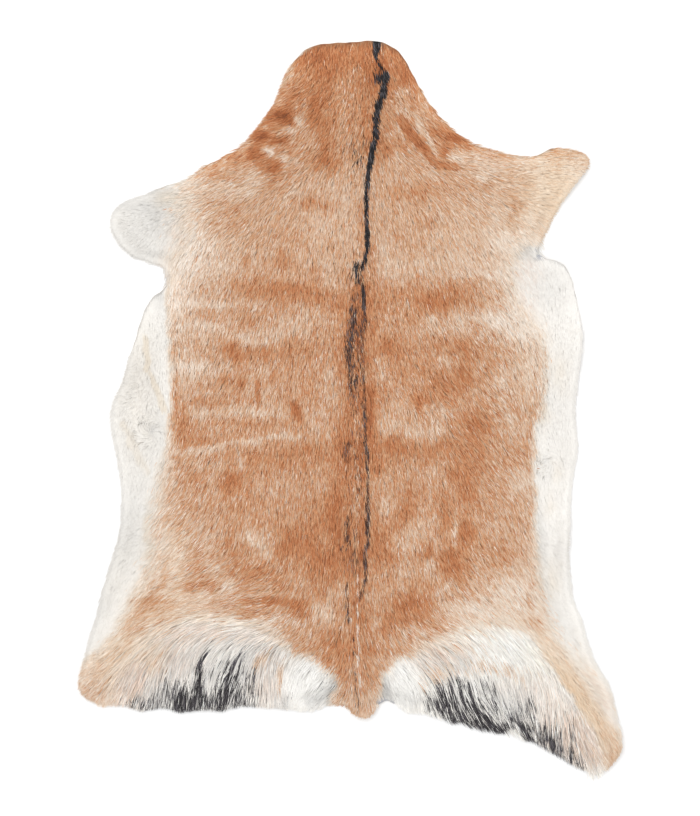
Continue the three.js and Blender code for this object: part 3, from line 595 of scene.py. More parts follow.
# Pale hair outside the tan area. Rows as the patches, with the share of the named colour.
paleCoat = dict(
    white=(250, 248, 244), grey=(214, 212, 209), ochre=(236, 218, 192), cream=(239, 229, 216),
    pink=(232, 212, 197),
    # beside the tan area the pale hair blushes, by a share that varies from hair to hair
    edgeBlush=(233, 214, 193), blushShare=0.75, blushShares=(0.0, 0.5), blushBase=0.4, blushRange=1.2,
    greyBase=0.85, greyRange=1.7, pinkRange=1.8,
    rumpCalm=0.75,           # how much evener the white hair beside the tail is
    shadeCurve=1.3,          # shades are bunched towards the lighter ones round this mean
    shadeMean=0.44,
    # where the pale hair is dimmer, by the share; the rows under the right foreleg and beside the tail are
    # painted shadow
    dimAndShadowPatches=[
        (-284, 440, 44, 150, 0.058), (-280, 236, 50, 44, 0.06), (-282, 212, 20, 9, 0.05),
        (-240, 194, 24, 9, 0.06), (-205, 182, 20, 8, 0.04), (-262, 277, 26, 8, 0.045),
        (232, 276, 13, 8, 0.08), (236, 176, 12, 30, 0.04), (272, 142, 16, 8, 0.04), (248, 640, 8, 34, 0.04),
        (-272, 490, 14, 28, -0.045), (-246, 502, 12, 16, 0.04), (-318, 730, 14, 50, 18, 0.03),
        (-235, 800, 50, 24, 0.05), (-110, 808, 34, 20, 0.06), (-68, 788, 18, 10, 0.05),
        (112, 812, 20, 22, 0.06), (80, 856, 24, 9, 0.08), (294, 884, 12, 26, -30, 0.03),
        (314, 938, 10, 12, 0.07), (-42, 855, 14, 8, 0.1), (48, 840, 7, 20, 0.1), (152, 810, 12, 14, 0.08),
        (272, 500, 36, 60, 0.02), (-248, 215, 20, 40, 0.055), (-296, 640, 34, 60, 0.042),
        (270, 322, 36, 34, 0.04), (284, 440, 30, 80, 0.02), (276, 680, 30, 70, 0.03),
        (-258, 460, 22, 140, 0.026), (-46, 850, 14, 14, 40, 0.04), (52, 846, 12, 10, 0.06),
        (-244, 325, 10, 26, 0.1), (250, 310, 26, 26, 0.03), (-330, 730, 16, 60, 18, 0.06),
        (262, 730, 10, 40, -20, 0.03), (288, 775, 9, 34, -30, 0.02), (-25, 838, 7, 22, 30, 0.14),
    ],
    greyPatches=[
        (-262, 214, 26, 12, 0.16), (-245, 235, 20, 14, 0.08), (-282, 620, 20, 55, 0.2),
        (-284, 430, 12, 20, 0.12), (-257, 506, 4, 4, 0.6), (255, 545, 2.5, 8, -20, 0.8),
        (-86, 852, 14, 9, 0.6), (-190, 815, 90, 34, 0.45), (205, 850, 40, 24, 0.45),
        (150, 850, 40, 26, 0.5), (-268, 838, 30, 20, 0.45), (-298, 265, 20, 20, 0.1),
        (-130, 820, 24, 40, 0.4), (-240, 845, 40, 20, 0.4), (220, 862, 24, 14, 0.4),
        (-92, 852, 12, 12, 0.4),
    ],
    ochrePatches=[
        (-238, 205, 14, 9, 0.4), (272, 430, 9, 22, 0.2), (250, 486, 8, 14, 0.25), (-272, 440, 26, 90, 0.14),
        (-300, 700, 20, 60, 18, 0.06), (268, 562, 5, 14, 0.15), (258, 604, 6, 14, 0.15),
        (-262, 660, 5, 28, 0.3), (326, 850, 14, 50, -30, 0.25), (-262, 625, 4, 20, 0.25),
        (-225, 290, 14, 16, 0.35), (262, 700, 9, 24, 0.25), (-256, 806, 12, 20, 0.5),
        (300, 815, 14, 40, -38, 0.2), (-250, 790, 20, 14, 0.3), (245, 800, 8, 20, -30, 0.2),
    ],
    pinkPatches=[
        (-190, 765, 66, 15, 0.55), (-110, 780, 34, 16, 0.2), (-300, 848, 26, 16, 0.9),
        (-280, 818, 24, 24, 0.8), (130, 795, 34, 14, 0.55), (290, 905, 34, 26, 0.8),
        (262, 882, 16, 14, 0.3), (110, 800, 34, 22, 0.45), (-218, 256, 16, 26, 0.5),
        (228, 300, 18, 20, 0.4), (324, 850, 15, 56, -34, 0.4), (294, 884, 14, 26, -30, 0.4),
        (-240, 800, 40, 26, 0.6), (-108, 830, 22, 30, 0.5), (250, 850, 24, 30, 0.35),
        (224, 350, 18, 22, 0.5), (312, 922, 18, 20, 0.6), (-240, 300, 10, 22, 0.3),
        (-212, 330, 12, 26, 0.5), (206, 836, 20, 14, 0.2),
    ],
    ochreStreaks=[
        (4, 0.4, [(-266, 385), (-262, 425), (-250, 455), (-240, 480)]),
        (4, 0.2, [(-292, 495), (-280, 530), (-262, 560)]),
    ],
    # tan hair among the pale: share of the hairs
    tanPatches=[
        (-117, 806, 11, 10, 1.0), (-92, 824, 6, 15, 0.95), (-255, 802, 16, 20, 0.5),
        (-228, 790, 16, 20, 0.12), (-300, 850, 26, 14, 0.4), (113, 824, 10, 11, 0.85),
        (132, 821, 10, 7, 0.5), (165, 813, 30, 8, 0.55), (200, 818, 20, 8, 0.42), (216, 826, 12, 10, 0.25),
        (97, 832, 6, 16, 0.5), (290, 905, 22, 26, 0.3), (318, 930, 16, 18, 0.35), (238, 845, 24, 24, 0.1),
        (-190, 772, 60, 9, 0.3), (236, 822, 12, 10, 0.1), (-215, 775, 20, 12, 0.12),
        (318, 840, 12, 56, -34, 0.08), (280, 772, 12, 36, -36, 0.24), (312, 818, 10, 7, 0.36),
        (342, 885, 9, 26, -20, 0.16), (-106, 800, 18, 20, 0.12), (296, 880, 10, 18, -30, 0.15),
        (150, 790, 60, 14, 0.15), (251, 728, 8, 22, -30, 0.35), (-235, 270, 14, 20, 0.12),
        (-100, 790, 30, 10, -30, 0.12), (150, 785, 50, 9, 0.2), (-280, 800, 20, 20, 0.3),
        (-268, 700, 10, 24, 0.25), (-252, 640, 6, 34, 0.25), (-236, 590, 6, 20, 0.25),
        (36, 806, 8, 14, 0.4),
    ],
    rumpWhite=[(-58, 834, 22, 28, 1.8), (72, 836, 17, 28, 1.6), (200, 796, 50, 24, 0.4)],
)
# Dark hair: rows as the patches, with the share of black hairs.
darkCoat = dict(
    black=(15, 12, 13), grey=(124, 119, 124), brown=(102, 62, 42),
    mostBlack=0.82,          # pale hairs show through even the darkest thigh hair
    fringeTop=780,           # down the hide, where the thigh hair's black begins
    brownFrom=(300, 360),    # and where the stripe turns brown
    leastBrown=0.35,
    mostGreyAndGlint=0.95,           # how grey the greyest dark hair is, the grey being partly grey hair and partly painted glints of light on the black; a higher power leaves fewer grey
    fringeGreying=1.2,
    stripeGreying=3,
    soft=0.5,                # how soft the streaks' edges are, as a share of their half width
    patches=[
        # spine
        (43, 51, 8, 7, 0.95), (35, 50, 6, 11, 0.4), (9, 298, 7, 11, 0.72), (15, 158, 11, 20, 0.3),
        (10, 140, 14, 26, 0.12), (8, 380, 9, 12, 0.15), (10, 336, 8, 14, 0.32), (15, 374, 6, 12, 0.42),
        (6, 450, 5, 13, 0.35), (21, 280, 5, 13, 0.14), (8, 400, 9, 60, 0.28), (9, 540, 10, 90, 0.22),
        (-4, 532, 6, 16, 0.4), (5, 670, 11, 24, 0.32), (-7, 655, 5, 8, 0.3),
        # left thigh
        (-221, 858, 8, 21, 0.95), (-209, 856, 9, 15, 0.5), (-198, 850, 10, 20, 0.45),
        (-240, 852, 13, 14, 0.42), (-262, 858, 12, 10, 0.24), (-285, 860, 10, 7, 0.12),
        (-215, 855, 60, 14, 0.16), (-272, 856, 10, 12, 0.22), (-180, 856, 14, 16, 0.48),
        (-168, 856, 8, 16, 0.45), (-238, 832, 10, 12, -40, 0.32), (-148, 850, 12, 16, 0.4),
        (-138, 832, 8, 22, 0.3), (-212, 828, 12, 16, 0.08), (-172, 828, 8, 20, 0.2),
        (-158, 828, 10, 26, 0.45), (-134, 862, 11, 7, 0.45), (-218, 864, 9, 8, 0.6),
        (-122, 850, 12, 14, 0.3), (-192, 820, 8, 15, 0.2), (-88, 852, 14, 9, 0.2),
        (-28, 846, 12, 16, -35, 0.2), (80, 78, 24, 28, 0.045), (-290, 850, 14, 9, 0.12),
        # right thigh
        (118, 850, 5, 16, 0.62), (126, 862, 9, 14, 0.52), (143, 876, 14, 8, 0.6), (134, 846, 12, 20, 0.36),
        (166, 868, 16, 18, 0.32), (184, 852, 12, 26, 0.18), (146, 834, 9, 12, 0.3), (232, 887, 11, 9, 0.52),
        (251, 903, 11, 10, 0.42), (286, 884, 10, 18, 0.12), (198, 889, 10, 7, 0.45),
        (119, 859, 7, 12, 0.45), (156, 885, 10, 6, 0.35), (170, 887, 16, 8, 8, 0.66),
        (190, 892, 13, 7, 12, 0.66), (207, 884, 10, 10, 0.25), (232, 866, 9, 15, 0.4),
        (214, 870, 12, 12, 0.32), (248, 896, 10, 14, 0.3), (264, 904, 11, 16, 0.36),
        (272, 918, 10, 8, 20, 0.45), (290, 930, 9, 12, 25, 0.5), (299, 938, 7, 5, 0.35),
        (284, 906, 10, 14, 0.2), (106, 860, 8, 10, 0.45), (190, 866, 6, 12, 0.25), (112, 862, 10, 8, 0.25),
        (164, 850, 8, 12, 0.22),
    ],
    # half width at the start and at the end, share of black hairs, then across, down along it
    streaks=[
        (6.6, 4.4, 0.98, [(35.4, -6), (35.2, 8), (34.0, 15)]),
        (3.4, 2.4, 0.97, [(33.8, 15), (33.4, 23)]),
        (2.1, 2.2, 0.96, [(33.4, 23), (36.4, 30), (40.9, 37), (46, 44)]),
        (5.0, 5.0, 0.95, [(46.4, 46), (46.4, 54), (43.9, 66), (41.6, 75)]),
        (4.7, 4.9, 0.96, [(41.6, 75), (37, 87), (35.6, 98), (34.8, 109), (34.5, 121)]),
        (4.8, 3.6, 0.95, [(34.5, 121), (31.6, 132), (28.8, 144), (27.2, 155)]),
        (3.5, 3.0, 0.95, [(27.2, 155), (26.2, 160), (22.8, 177)]),
        (3.3, 2.9, 0.93, [(22.4, 177), (21.8, 200)]),
        (3.0, 3.2, 0.92, [(21.8, 200), (20.8, 223), (21.9, 246), (22.8, 258)]),
        (3.0, 4.0, 0.93, [(22.8, 258), (22.0, 274), (19.7, 285), (15.8, 297)]),
        (6.0, 6.0, 0.60, [(10, 300), (11, 313)]),
        (2.8, 2.8, 0.86, [(17, 321), (18.6, 340), (18.7, 362)]),
        (2.6, 2.0, 0.60, [(18.7, 362), (16.2, 386), (16, 402)]),
        (5.4, 6.4, 0.68, [(4.5, 350), (3.2, 373), (0.6, 385)]),
        (6.4, 5.4, 0.70, [(0.6, 385), (-1.6, 400), (-1.4, 415)]),
        (5.2, 3.2, 0.62, [(-1.4, 415), (0.6, 430), (1.2, 448)]),
        (2.0, 2.0, 0.35, [(1.2, 448), (3, 475)]),
        (2.2, 2.4, 0.48, [(16.5, 402), (18, 440), (19.2, 476)]),
        (2.4, 2.4, 0.66, [(19.2, 476), (20, 500), (20.8, 530)]),
        (2.8, 2.4, 0.72, [(21.2, 530), (23.2, 545), (22.8, 560)]),
        (2.2, 2.2, 0.55, [(22.8, 560), (22.8, 600)]),
        (2.8, 3.0, 0.72, [(23.2, 600), (23.2, 620), (23, 655)]),
        (2.4, 2.6, 0.66, [(20, 656), (20, 676), (21.6, 690), (20.4, 700)]),
        (2.4, 2.2, 0.50, [(18, 702), (16, 714), (13, 724)]),
        (3.6, 4.6, 0.42, [(-4.5, 618), (-3.6, 640), (-5.0, 656)]),
        (2.2, 2.0, 0.35, [(-4, 704), (-4.6, 724)]),
        (2.2, 2.2, 0.60, [(-3.6, 730), (-2.6, 754)]),
        (2.2, 2.6, 0.30, [(5, 775), (6, 820), (10, 868)]),
        # left thigh, first along its rim
        (6.0, 6.0, 0.60, [(-262, 866), (-240, 866), (-215, 872), (-190, 868), (-150, 866)]),
        (1.2, 1.6, 0.25, [(-180, 775), (-185, 785), (-190, 797)]),
        (2.4, 3.0, 0.80, [(-190, 797), (-195, 806), (-196, 818)]),
        (3.2, 5.2, 0.78, [(-196, 818), (-194, 826), (-195, 838)]),
        (5.6, 7.0, 0.80, [(-195, 838), (-197, 848), (-199, 856), (-205, 874)]),
        (1.3, 2.8, 0.80, [(-144, 796), (-149, 803), (-153, 812)]),
        (2.8, 2.6, 0.92, [(-153, 812), (-158, 824), (-161, 838)]),
        (2.6, 4.2, 0.85, [(-161, 838), (-163, 848), (-168, 872)]),
        (1.2, 2.0, 0.82, [(-141, 806), (-145, 818), (-149, 830), (-154, 840), (-159, 854)]),
        (1.2, 1.4, 0.55, [(-154, 800), (-162, 816), (-167, 842)]),
        (1.2, 1.5, 0.65, [(-122, 806), (-124, 825), (-126, 846)]),
        # right thigh, first along its rim
        (5.0, 6.0, 0.62, [(116, 864), (128, 878), (150, 890), (188, 898)]),
        (5.0, 5.0, 0.62, [(222, 895), (250, 913), (285, 935)]),
        (1.4, 4.8, 0.88, [(130, 832), (131, 845), (134, 858), (139, 870), (150, 890)]),
        (2.0, 3.6, 0.85, [(124, 855), (127, 866), (132, 876), (144, 890)]),
        (1.6, 2.4, 0.93, [(141, 824), (142, 838), (145, 850), (150, 862)]),
        (2.4, 2.6, 0.80, [(150, 862), (156, 872), (164, 881), (178, 894)]),
        (1.4, 4.2, 0.93, [(155, 838), (157, 850), (161, 860), (168, 870), (178, 880)]),
        (4.2, 2.8, 0.88, [(178, 880), (186, 886), (200, 898)]),
        (1.8, 2.2, 0.75, [(150, 850), (156, 862), (162, 872)]),
        (1.3, 1.6, 0.60, [(187, 834), (188, 850), (190, 866)]),
        (1.2, 1.6, 0.50, [(172, 828), (176, 845), (181, 862)]),
        (1.2, 1.6, 0.55, [(164, 832), (168, 846), (174, 860), (182, 876)]),
        (1.4, 2.0, 0.48, [(231, 850), (234, 862), (237, 876)]),
        (1.2, 1.6, 0.50, [(240, 862), (241, 880)]),
        (2.5, 4.2, 0.88, [(207, 875), (215, 877), (221, 884)]),
        (4.2, 4.4, 0.96, [(221, 884), (227, 893), (232, 901)]),
        (4.4, 3.0, 0.92, [(232, 901), (238, 907), (248, 916)]),
        (1.6, 2.8, 0.90, [(252, 884), (254, 895), (258, 906), (268, 924)]),
        (1.8, 2.8, 0.90, [(259, 895), (262, 905), (272, 924)]),
        (1.6, 1.8, 0.65, [(266, 888), (268, 898), (270, 908)]),
        (1.2, 2.2, 0.82, [(287, 898), (287, 912), (285, 934)]),
        (0.9, 1.2, 0.45, [(291, 900), (293, 914), (297, 928)]),
    ],
    # pale thread down the tail
    threads=[
        (0.9, 1.5, 0.35, [(10, 690), (10, 750)]), (1.5, 1.4, 0.42, [(10, 750), (10.5, 800), (14, 840)]),
    ],
)


patchFall = 0.9              # how fast a patch fades towards its half width and past it


def patchSum(xy, rows):
    total = np.zeros(len(xy))
    for across, down, wide, tall, *turn, amount in rows:
        away = (xy - onHide((across, down))) * 1000
        lean = math.radians(turn[0]) if turn else 0.0
        c, s = math.cos(lean), math.sin(lean)
        u = (away[:, 0] * c - away[:, 1] * s) / wide
        v = (away[:, 0] * s + away[:, 1] * c) / tall
        total += amount * np.exp(-patchFall * (u * u + v * v))
    return total


def streakSum(xy, rows, soft=0.45):
    # rows: half width, amount, path; or half width at each end, amount, path
    total = np.zeros(len(xy))
    for row in rows:
        start, end = (row[0], row[0]) if len(row) == 3 else row[:2]
        gap, share = alongPath(xy, onHide(row[-1]))
        wide = (start + (end - start) * share) / 1000
        amount = row[-2] * (1 - smoothStep(gap, (1 - soft) * wide, (1 + soft) * wide))
        total = np.where(np.abs(amount) > np.abs(total), amount, total)
    return total


def tanShare(xy):
    edge = np.array(tanEdge, float)
    loop = onHide(edge[:, :2])
    gap = signedGap(xy, loop) * 1000
    closed = np.vstack([loop, loop[:1]])
    _, share = alongPath(xy, closed)
    steps = np.linalg.norm(np.diff(closed, axis=0), axis=1)
    run = np.concatenate([[0], np.cumsum(steps)]) / steps.sum()
    soft = np.interp(share, run, np.append(edge[:, 2], edge[0, 2]))
    return 0.5 + 0.5 * np.tanh(gap / soft)


def toneColour(tone):
    stops = np.array([row[0] for row in coat["toneColours"]])
    table = np.array([row[1] for row in coat["toneColours"]], float)
    return np.column_stack([np.interp(tone, stops, table[:, k]) for k in range(3)])


def mixed(colour, other, share):
    share = np.clip(share, 0, 1)[:, None]
    return colour * (1 - share) + np.asarray(other, float) * share


def wandering(xy, spec, salt):
    return np.column_stack([softNoise(xy, spec["size"], salt + k) for k in (0, 1)]) * spec["reach"]


def hairColours(xy, roots, spec, rng):
    # one colour for each hair: markings by the place where it shows, locks by its root
    count = len(xy)
    lots = rng.random((count, 6))
    own = spec["ownLot"]
    _, tuft = nearestTuft(roots, coat["tuftSize"], salts["tuft"])
    _, strand = nearestTuft(roots, spec["strandSize"], salts["strand"])
    # fresh random numbers from the strand's own
    strand = strand * coat["reshuffle"][0] % 1
    more = strand * coat["reshuffle"][1] % 1
    nudge = wandering(xy, coat["wander"], salts["wander"])
    place = xy + nudge
    grain = coat["grain"]
    down = (hide["length"] / 2 - xy[:, 1]) * 1000
    pale = coat["shoulderPale"]
    share = tanShare(place)
    shoulder = smoothStep(down, *pale["top"]) * (1 - smoothStep(down, *pale["foot"]))
    tone = coat["tanTone"] + pale["tone"] * shoulder
    tone += patchSum(place, coat["patches"]) + streakSum(place, coat["streaks"])
    tone -= coat["edgeFade"] * (1 - smoothStep(share, *coat["edgeShares"]))
    lively = coat["liveliness"] - coat["rustCalm"] * smoothStep(tone, *coat["rustTones"])
    lively -= coat["shoulderCalm"] * shoulder
    noise = grain["broad"] * softNoise(xy, coat["broadSize"], salts["shade"])
    noise += grain["tuft"] * (tuft[:, 0] - 0.5)
    noise += grain["strand"] * (strand[:, 0] - 0.5) + grain["hair"] * (lots[:, 0] - 0.5)
    tone += noise * lively
    creamShare = coat["creamHairs"] * lively ** 2 + patchSum(place, coat["creamPatches"])
    isCream = coat["creamLots"][0] * lots[:, 1] + coat["creamLots"][1] * more[:, 0] < creamShare
    tone = np.where(isCream, tone - coat["creamDrop"], tone)
    tone = np.where(lots[:, 5] < coat["darkHairs"], tone + coat["darkRise"], tone)
    tan = mixed(toneColour(tone), coat["ochre"], patchSum(place, coat["ochrePatches"]))

    paleHair = np.tile(np.array(paleCoat["white"], float), (count, 1))
    creamy = spec["creamShare"] + spec["creamSpread"] * (strand[:, 1] - 0.5)
    paleHair = mixed(paleHair, paleCoat["cream"], creamy)
    greyLot = own * lots[:, 2] + (1 - own) * more[:, 1]
    grey = patchSum(place, paleCoat["greyPatches"])
    grey = grey * (paleCoat["greyBase"] + paleCoat["greyRange"] * spec["greySpread"] * (greyLot - 0.5))
    paleHair = mixed(paleHair, paleCoat["grey"], grey)
    ochre = patchSum(place, paleCoat["ochrePatches"]) + streakSum(place, paleCoat["ochreStreaks"])
    paleHair = mixed(paleHair, paleCoat["ochre"], ochre)
    pink = patchSum(place, paleCoat["pinkPatches"]) * paleCoat["pinkRange"] * strand[:, 0]
    paleHair = mixed(paleHair, paleCoat["pink"], pink)
    blush = paleCoat["blushShare"] * smoothStep(share, *paleCoat["blushShares"])
    blush = blush * (paleCoat["blushBase"] + paleCoat["blushRange"] * lots[:, 2])
    paleHair = mixed(paleHair, paleCoat["edgeBlush"], blush)
    rump = patchSum(place, paleCoat["rumpWhite"])
    paleHair = mixed(paleHair, paleCoat["white"], rump)
    # dimmer pale hair, including painted shadow under the right foreleg and beside the tail
    dim = patchSum(place, paleCoat["dimAndShadowPatches"])
    paleHair = paleHair * (1 - spec["paleDim"] - dim)[:, None]
    shadow = own * lots[:, 0] + (1 - own) * more[:, 0]
    shadeSpread = spec["shadeSpread"] * (1 - paleCoat["rumpCalm"] * np.clip(rump, 0, 1))
    shade = shadow ** paleCoat["shadeCurve"] - paleCoat["shadeMean"]
    paleHair = paleHair * (1 - shadeSpread * shade)[:, None]

    amongPale = np.clip(patchSum(place, paleCoat["tanPatches"]), 0, 1)
    share = share + (1 - share) * amongPale
    byHair, byStrand, byTuft = coat["areaLots"]
    isTan = byHair * lots[:, 3] + byStrand * more[:, 1] + byTuft * tuft[:, 1] < share
    colour = np.where(isTan[:, None], tan, paleHair)

    # the dark stripe's edges wander by a hair or two
    rough = nudge * coat["stripeNudge"] + wandering(xy, coat["stripeWander"], salts["stripe"])
    black = np.clip(patchSum(place, darkCoat["patches"]), 0, 1)
    black = np.maximum(black, streakSum(xy + rough, darkCoat["streaks"], darkCoat["soft"]))
    fringe = down > darkCoat["fringeTop"]
    black = np.where(fringe, np.minimum(black, darkCoat["mostBlack"]), black)
    thread = streakSum(xy, darkCoat["threads"])
    black *= 1 - thread
    isBlack = own * lots[:, 4] + (1 - own) * strand[:, 1] < black
    dark = np.tile(np.array(darkCoat["black"], float), (count, 1))
    brownish = darkCoat["leastBrown"] + (1 - darkCoat["leastBrown"]) * lots[:, 2]
    brownish = brownish * smoothStep(down, *darkCoat["brownFrom"])
    dark = mixed(dark, darkCoat["brown"], brownish * (down < darkCoat["fringeTop"]))
    greying = np.where(fringe, darkCoat["fringeGreying"], darkCoat["stripeGreying"])
    # grey dark hairs: partly grey hair, partly painted glints on the black
    dark = mixed(dark, darkCoat["grey"], darkCoat["mostGreyAndGlint"] * lots[:, 0] ** greying)
    colour = np.where(isBlack[:, None], dark, colour)
    colour = np.where((lots[:, 3] < thread)[:, None], np.array(paleCoat["cream"], float), colour)
    # painted shadow along the hide's rim, darkest at the edge
    paintedRimShade = spec["paintedRimShade"] * (1 - smoothStep(sampled(rimGap, xy), 0.0, coat["paintedRimShadeReach"]))
    colour *= (1 - paintedRimShade)[:, None]
    return fromScreen(np.clip(colour, 0, 255))


# Hair pieces. Pale short hair is calm: it lies alike, flatter, wider and lower than the tan.
growth = dict(
    calmTurn=0.6, calmLoft=0.35, calmWidth=0.35, calmRoll=0.85,
    sway=8,                  # degrees, over broad areas
    swaySize=0.03,
    rimReach=0.014,          # the coat grows lower this near the rim, metres
    leastLoft=0.0012,
    rootDepth=0.0002,        # how far roots stand in the skin
    rootScatter=0.9,         # how far a root strays from its grid, as a share of the step
    spacing=0.85,            # a hair's points lie a little closer towards its tip
    bendRange=2.4,
    bendFrom=0.4,
    tipScatter=0.0006,       # how unevenly hairs end at the rim, metres
    mostCut=0.75,            # the most that a hair is shortened there
    riseCurve=1.8,           # how soon a hair reaches its full height
    # width along a hair as a share: how far along, and the share
    taper=[(0, 0.7), (0.3, 1.0), (0.7, 0.8), (1, 0.2)],
)
shortHair = dict(
    count=252000,            # hairs on the back, neck, legs and flanks
    pieces=["leftFlankHair", "leftBackHair", "rightBackHair", "rightFlankHair"],
    length=0.0155,
    lengthSpread=0.30,
    width=0.00092,
    overhang=0.0007,         # how far a tip may pass the rim
    turnSpread=8,            # degrees, hair by hair
    strandTurn=10,           # degrees, for the few hairs that lie together
    tuftSize=0.0055,
    tuftTurn=9,              # degrees, tuft by tuft
    tuftPull=0.30,
    strandSize=0.0024,       # hairs rooted this close lie and colour alike, metres
    ownLot=0.7,              # how far a hair's colour is its own and not its strand's
    paleDim=0.022,           # how much dimmer than white the pale hairs are
    shadeSpread=0.02,        # how much they differ in shade
    creamShare=0.18,         # how creamy they are
    creamSpread=0.08,        # how much they differ in creaminess
    greySpread=0.3,          # and in greyness
    leastWidth=0.75,         # widths vary from hair to hair, from this share of the width on
    widthRange=0.5,
    shownAt=(0.4, 0.6),      # a hair's colour is that of a place between its last two points
    lift=(0.55, 1.0),        # tip height as a share of the coat's loft
    rimLoft=0.45,            # how much of its loft the coat keeps at the rim
    paintedRimShade=0.05,           # how much painted shadow dims the hair along the rim
    roll=30,
    cells=(4, 4, 1024),      # a hair's cell across and down in the unwrapped picture, and its side
    underReach=0.012,        # how far it runs on under the thigh hair
    changeLimits=(0.4, 1.6),
    calmShares=(0.15, 0.6),  # it is calm where less of it is tan than this
    # where it is longer or shorter: rows as the coat's patches, with the change as a share
    lengths=[
        (-275, 235, 40, 40, -0.1), (280, 180, 44, 44, -0.2), (0, 40, 70, 50, -0.15),
        (-240, 600, 16, 50, 0.5), (0, 780, 60, 40, 0.15), (-180, 725, 100, 26, 0.55),
        (180, 745, 90, 30, 0.55), (-290, 770, 50, 60, -40, 0.55), (300, 840, 40, 80, -38, 0.55),
        (-225, 680, 30, 50, 0.3), (225, 690, 30, 50, 0.3),
    ],
)
longHair = dict(
    count=27500,
    piece="thighHair",
    length=0.044,
    lengthSpread=0.25,
    width=0.00090,
    overhang=0.0011,
    turnSpread=5,
    strandTurn=7,
    tuftSize=0.010,
    tuftTurn=8,
    tuftPull=0.45,
    strandSize=0.0017,
    ownLot=0.78,
    paleDim=0.0,
    shadeSpread=0.22,
    creamShare=0.27,
    creamSpread=0.40,
    greySpread=1.0,
    leastWidth=0.7,
    widthRange=0.6,
    shownAt=(0.75, 0.25),
    edgeLength=0.55,         # share of its length that the hair has at the area's edge
    edgeReach=0.02,          # metres over which it grows longer
    lift=(0.5, 1.12),
    rimLoft=0.50,
    paintedRimShade=0.0,
    roll=34,
    cells=(6, 8, 1024),
    # where long hair grows: across, down round each thigh
    leftThigh=[(-306, 792), (-286, 768), (-262, 748), (-225, 732), (-180, 728), (-130, 738),
               (-95, 758), (-62, 782), (-30, 802), (-24, 850), (-60, 880), (-200, 885),
               (-300, 870), (-326, 855)],
    rightThigh=[(40, 806), (62, 786), (100, 768), (150, 752), (200, 746), (232, 768), (258, 806),
                (285, 845), (318, 890), (330, 955), (280, 950), (200, 915), (120, 890), (60, 870)],
)


def isBare(xy):
    return patchSum(xy, skin["bareSpots"]) > 0.45


def staggeredGrid(step):
    # points a step apart, in rows that lie half a step aside of each other
    xs = np.arange(mapX[0], mapX[-1], step)
    ys = np.arange(mapY[0], mapY[-1], step * math.sqrt(0.75))
    gx, gy = np.meshgrid(xs, ys)
    gx[1::2] += step / 2
    return np.column_stack([gx.ravel(), gy.ravel()])


def scatterRoots(count, area, keep, rng):
    # an even but irregular spread of roots, kept where keep says
    step = math.sqrt(area / count / math.sqrt(0.75))
    roots = staggeredGrid(step)
    roots += (rng.random(roots.shape) - 0.5) * step * growth["rootScatter"]
    return roots[keep(roots)]


def growHairs(roots, spec, lengths, segments, calm, rng):
    # follows the lie of the hair from each root; returns one row of points a hair
    count = len(roots)
    centre, lots = nearestTuft(roots, spec["tuftSize"], salts["lieTuft"])
    wild = 1 - growth["calmTurn"] * calm
    turn = rng.normal(0, spec["turnSpread"], count) + (lots[:, 0] - 0.5) * 2 * spec["tuftTurn"]
    _, strand = nearestTuft(roots, spec["strandSize"], salts["strand"])
    turn += spec["strandTurn"] * (strand[:, 0] - 0.5) * 2
    turn = np.radians(turn * wild + growth["sway"] * softNoise(roots, growth["swaySize"], salts["sway"]))
    bend = np.radians(spec["strandTurn"]) * (strand[:, 1] - 0.5) * growth["bendRange"] * wild
    tuftHeading = headingAt(centre)
    shares = np.linspace(0, 1, segments + 1) ** growth["spacing"]
    path = [roots]
    for k in range(segments):
        heading = headingAt(path[-1]) + turn + bend * (k / segments - growth["bendFrom"])
        step = (lengths * (shares[k + 1] - shares[k]))[:, None]
        ahead = path[-1] + step * np.column_stack([np.sin(heading), -np.cos(heading)])
        # tips draw together towards the middle line of their tuft
        axis = np.column_stack([np.sin(tuftHeading), -np.cos(tuftHeading)])
        off = ahead - centre
        side = off - (off * axis).sum(1)[:, None] * axis
        ahead = ahead - side * spec["tuftPull"] * (shares[k + 1] - shares[k])
        path.append(ahead)
    flat = np.stack(path, axis=1)
    # hairs that would pass the rim are shortened to end about there
    beyond = -sampled(rimGap, flat[:, -1])
    allowed = spec["overhang"] * (0.2 + 1.1 * lots[:, 1]) + rng.normal(0, growth["tipScatter"], count)
    cut = np.clip((beyond - allowed) / np.maximum(lengths, 1e-4), 0, growth["mostCut"])
    flat = flat[:, :1] + (flat - flat[:, :1]) * (1 - cut)[:, None, None]
    skinTop = sampled(skinUnder, roots) + skin["thickness"]
    loft = np.maximum(sampled(coatTop, roots) - skinTop, growth["leastLoft"])
    loft *= 1 - growth["calmLoft"] * calm
    fromRim = smoothStep(sampled(rimGap, flat[:, -1]), 0, growth["rimReach"])
    loft *= spec["rimLoft"] + (1 - spec["rimLoft"]) * fromRim
    low, high = spec["lift"]
    low = low + 0.5 * (high - low) * calm
    tipLift = low + (high - low) * (0.5 * rng.random(count) + 0.5 * strand[:, 0])
    tipFloor = sampled(skinUnder, flat[:, -1]) + skin["thickness"]
    heights = []
    for k, share in enumerate(shares):
        ground = skinTop + (tipFloor - skinTop) * share
        rise = 1 - (1 - share) ** growth["riseCurve"]
        heights.append(ground + loft * tipLift * rise - (growth["rootDepth"] if k == 0 else 0))
    return np.dstack([flat, np.stack(heights, axis=1)])


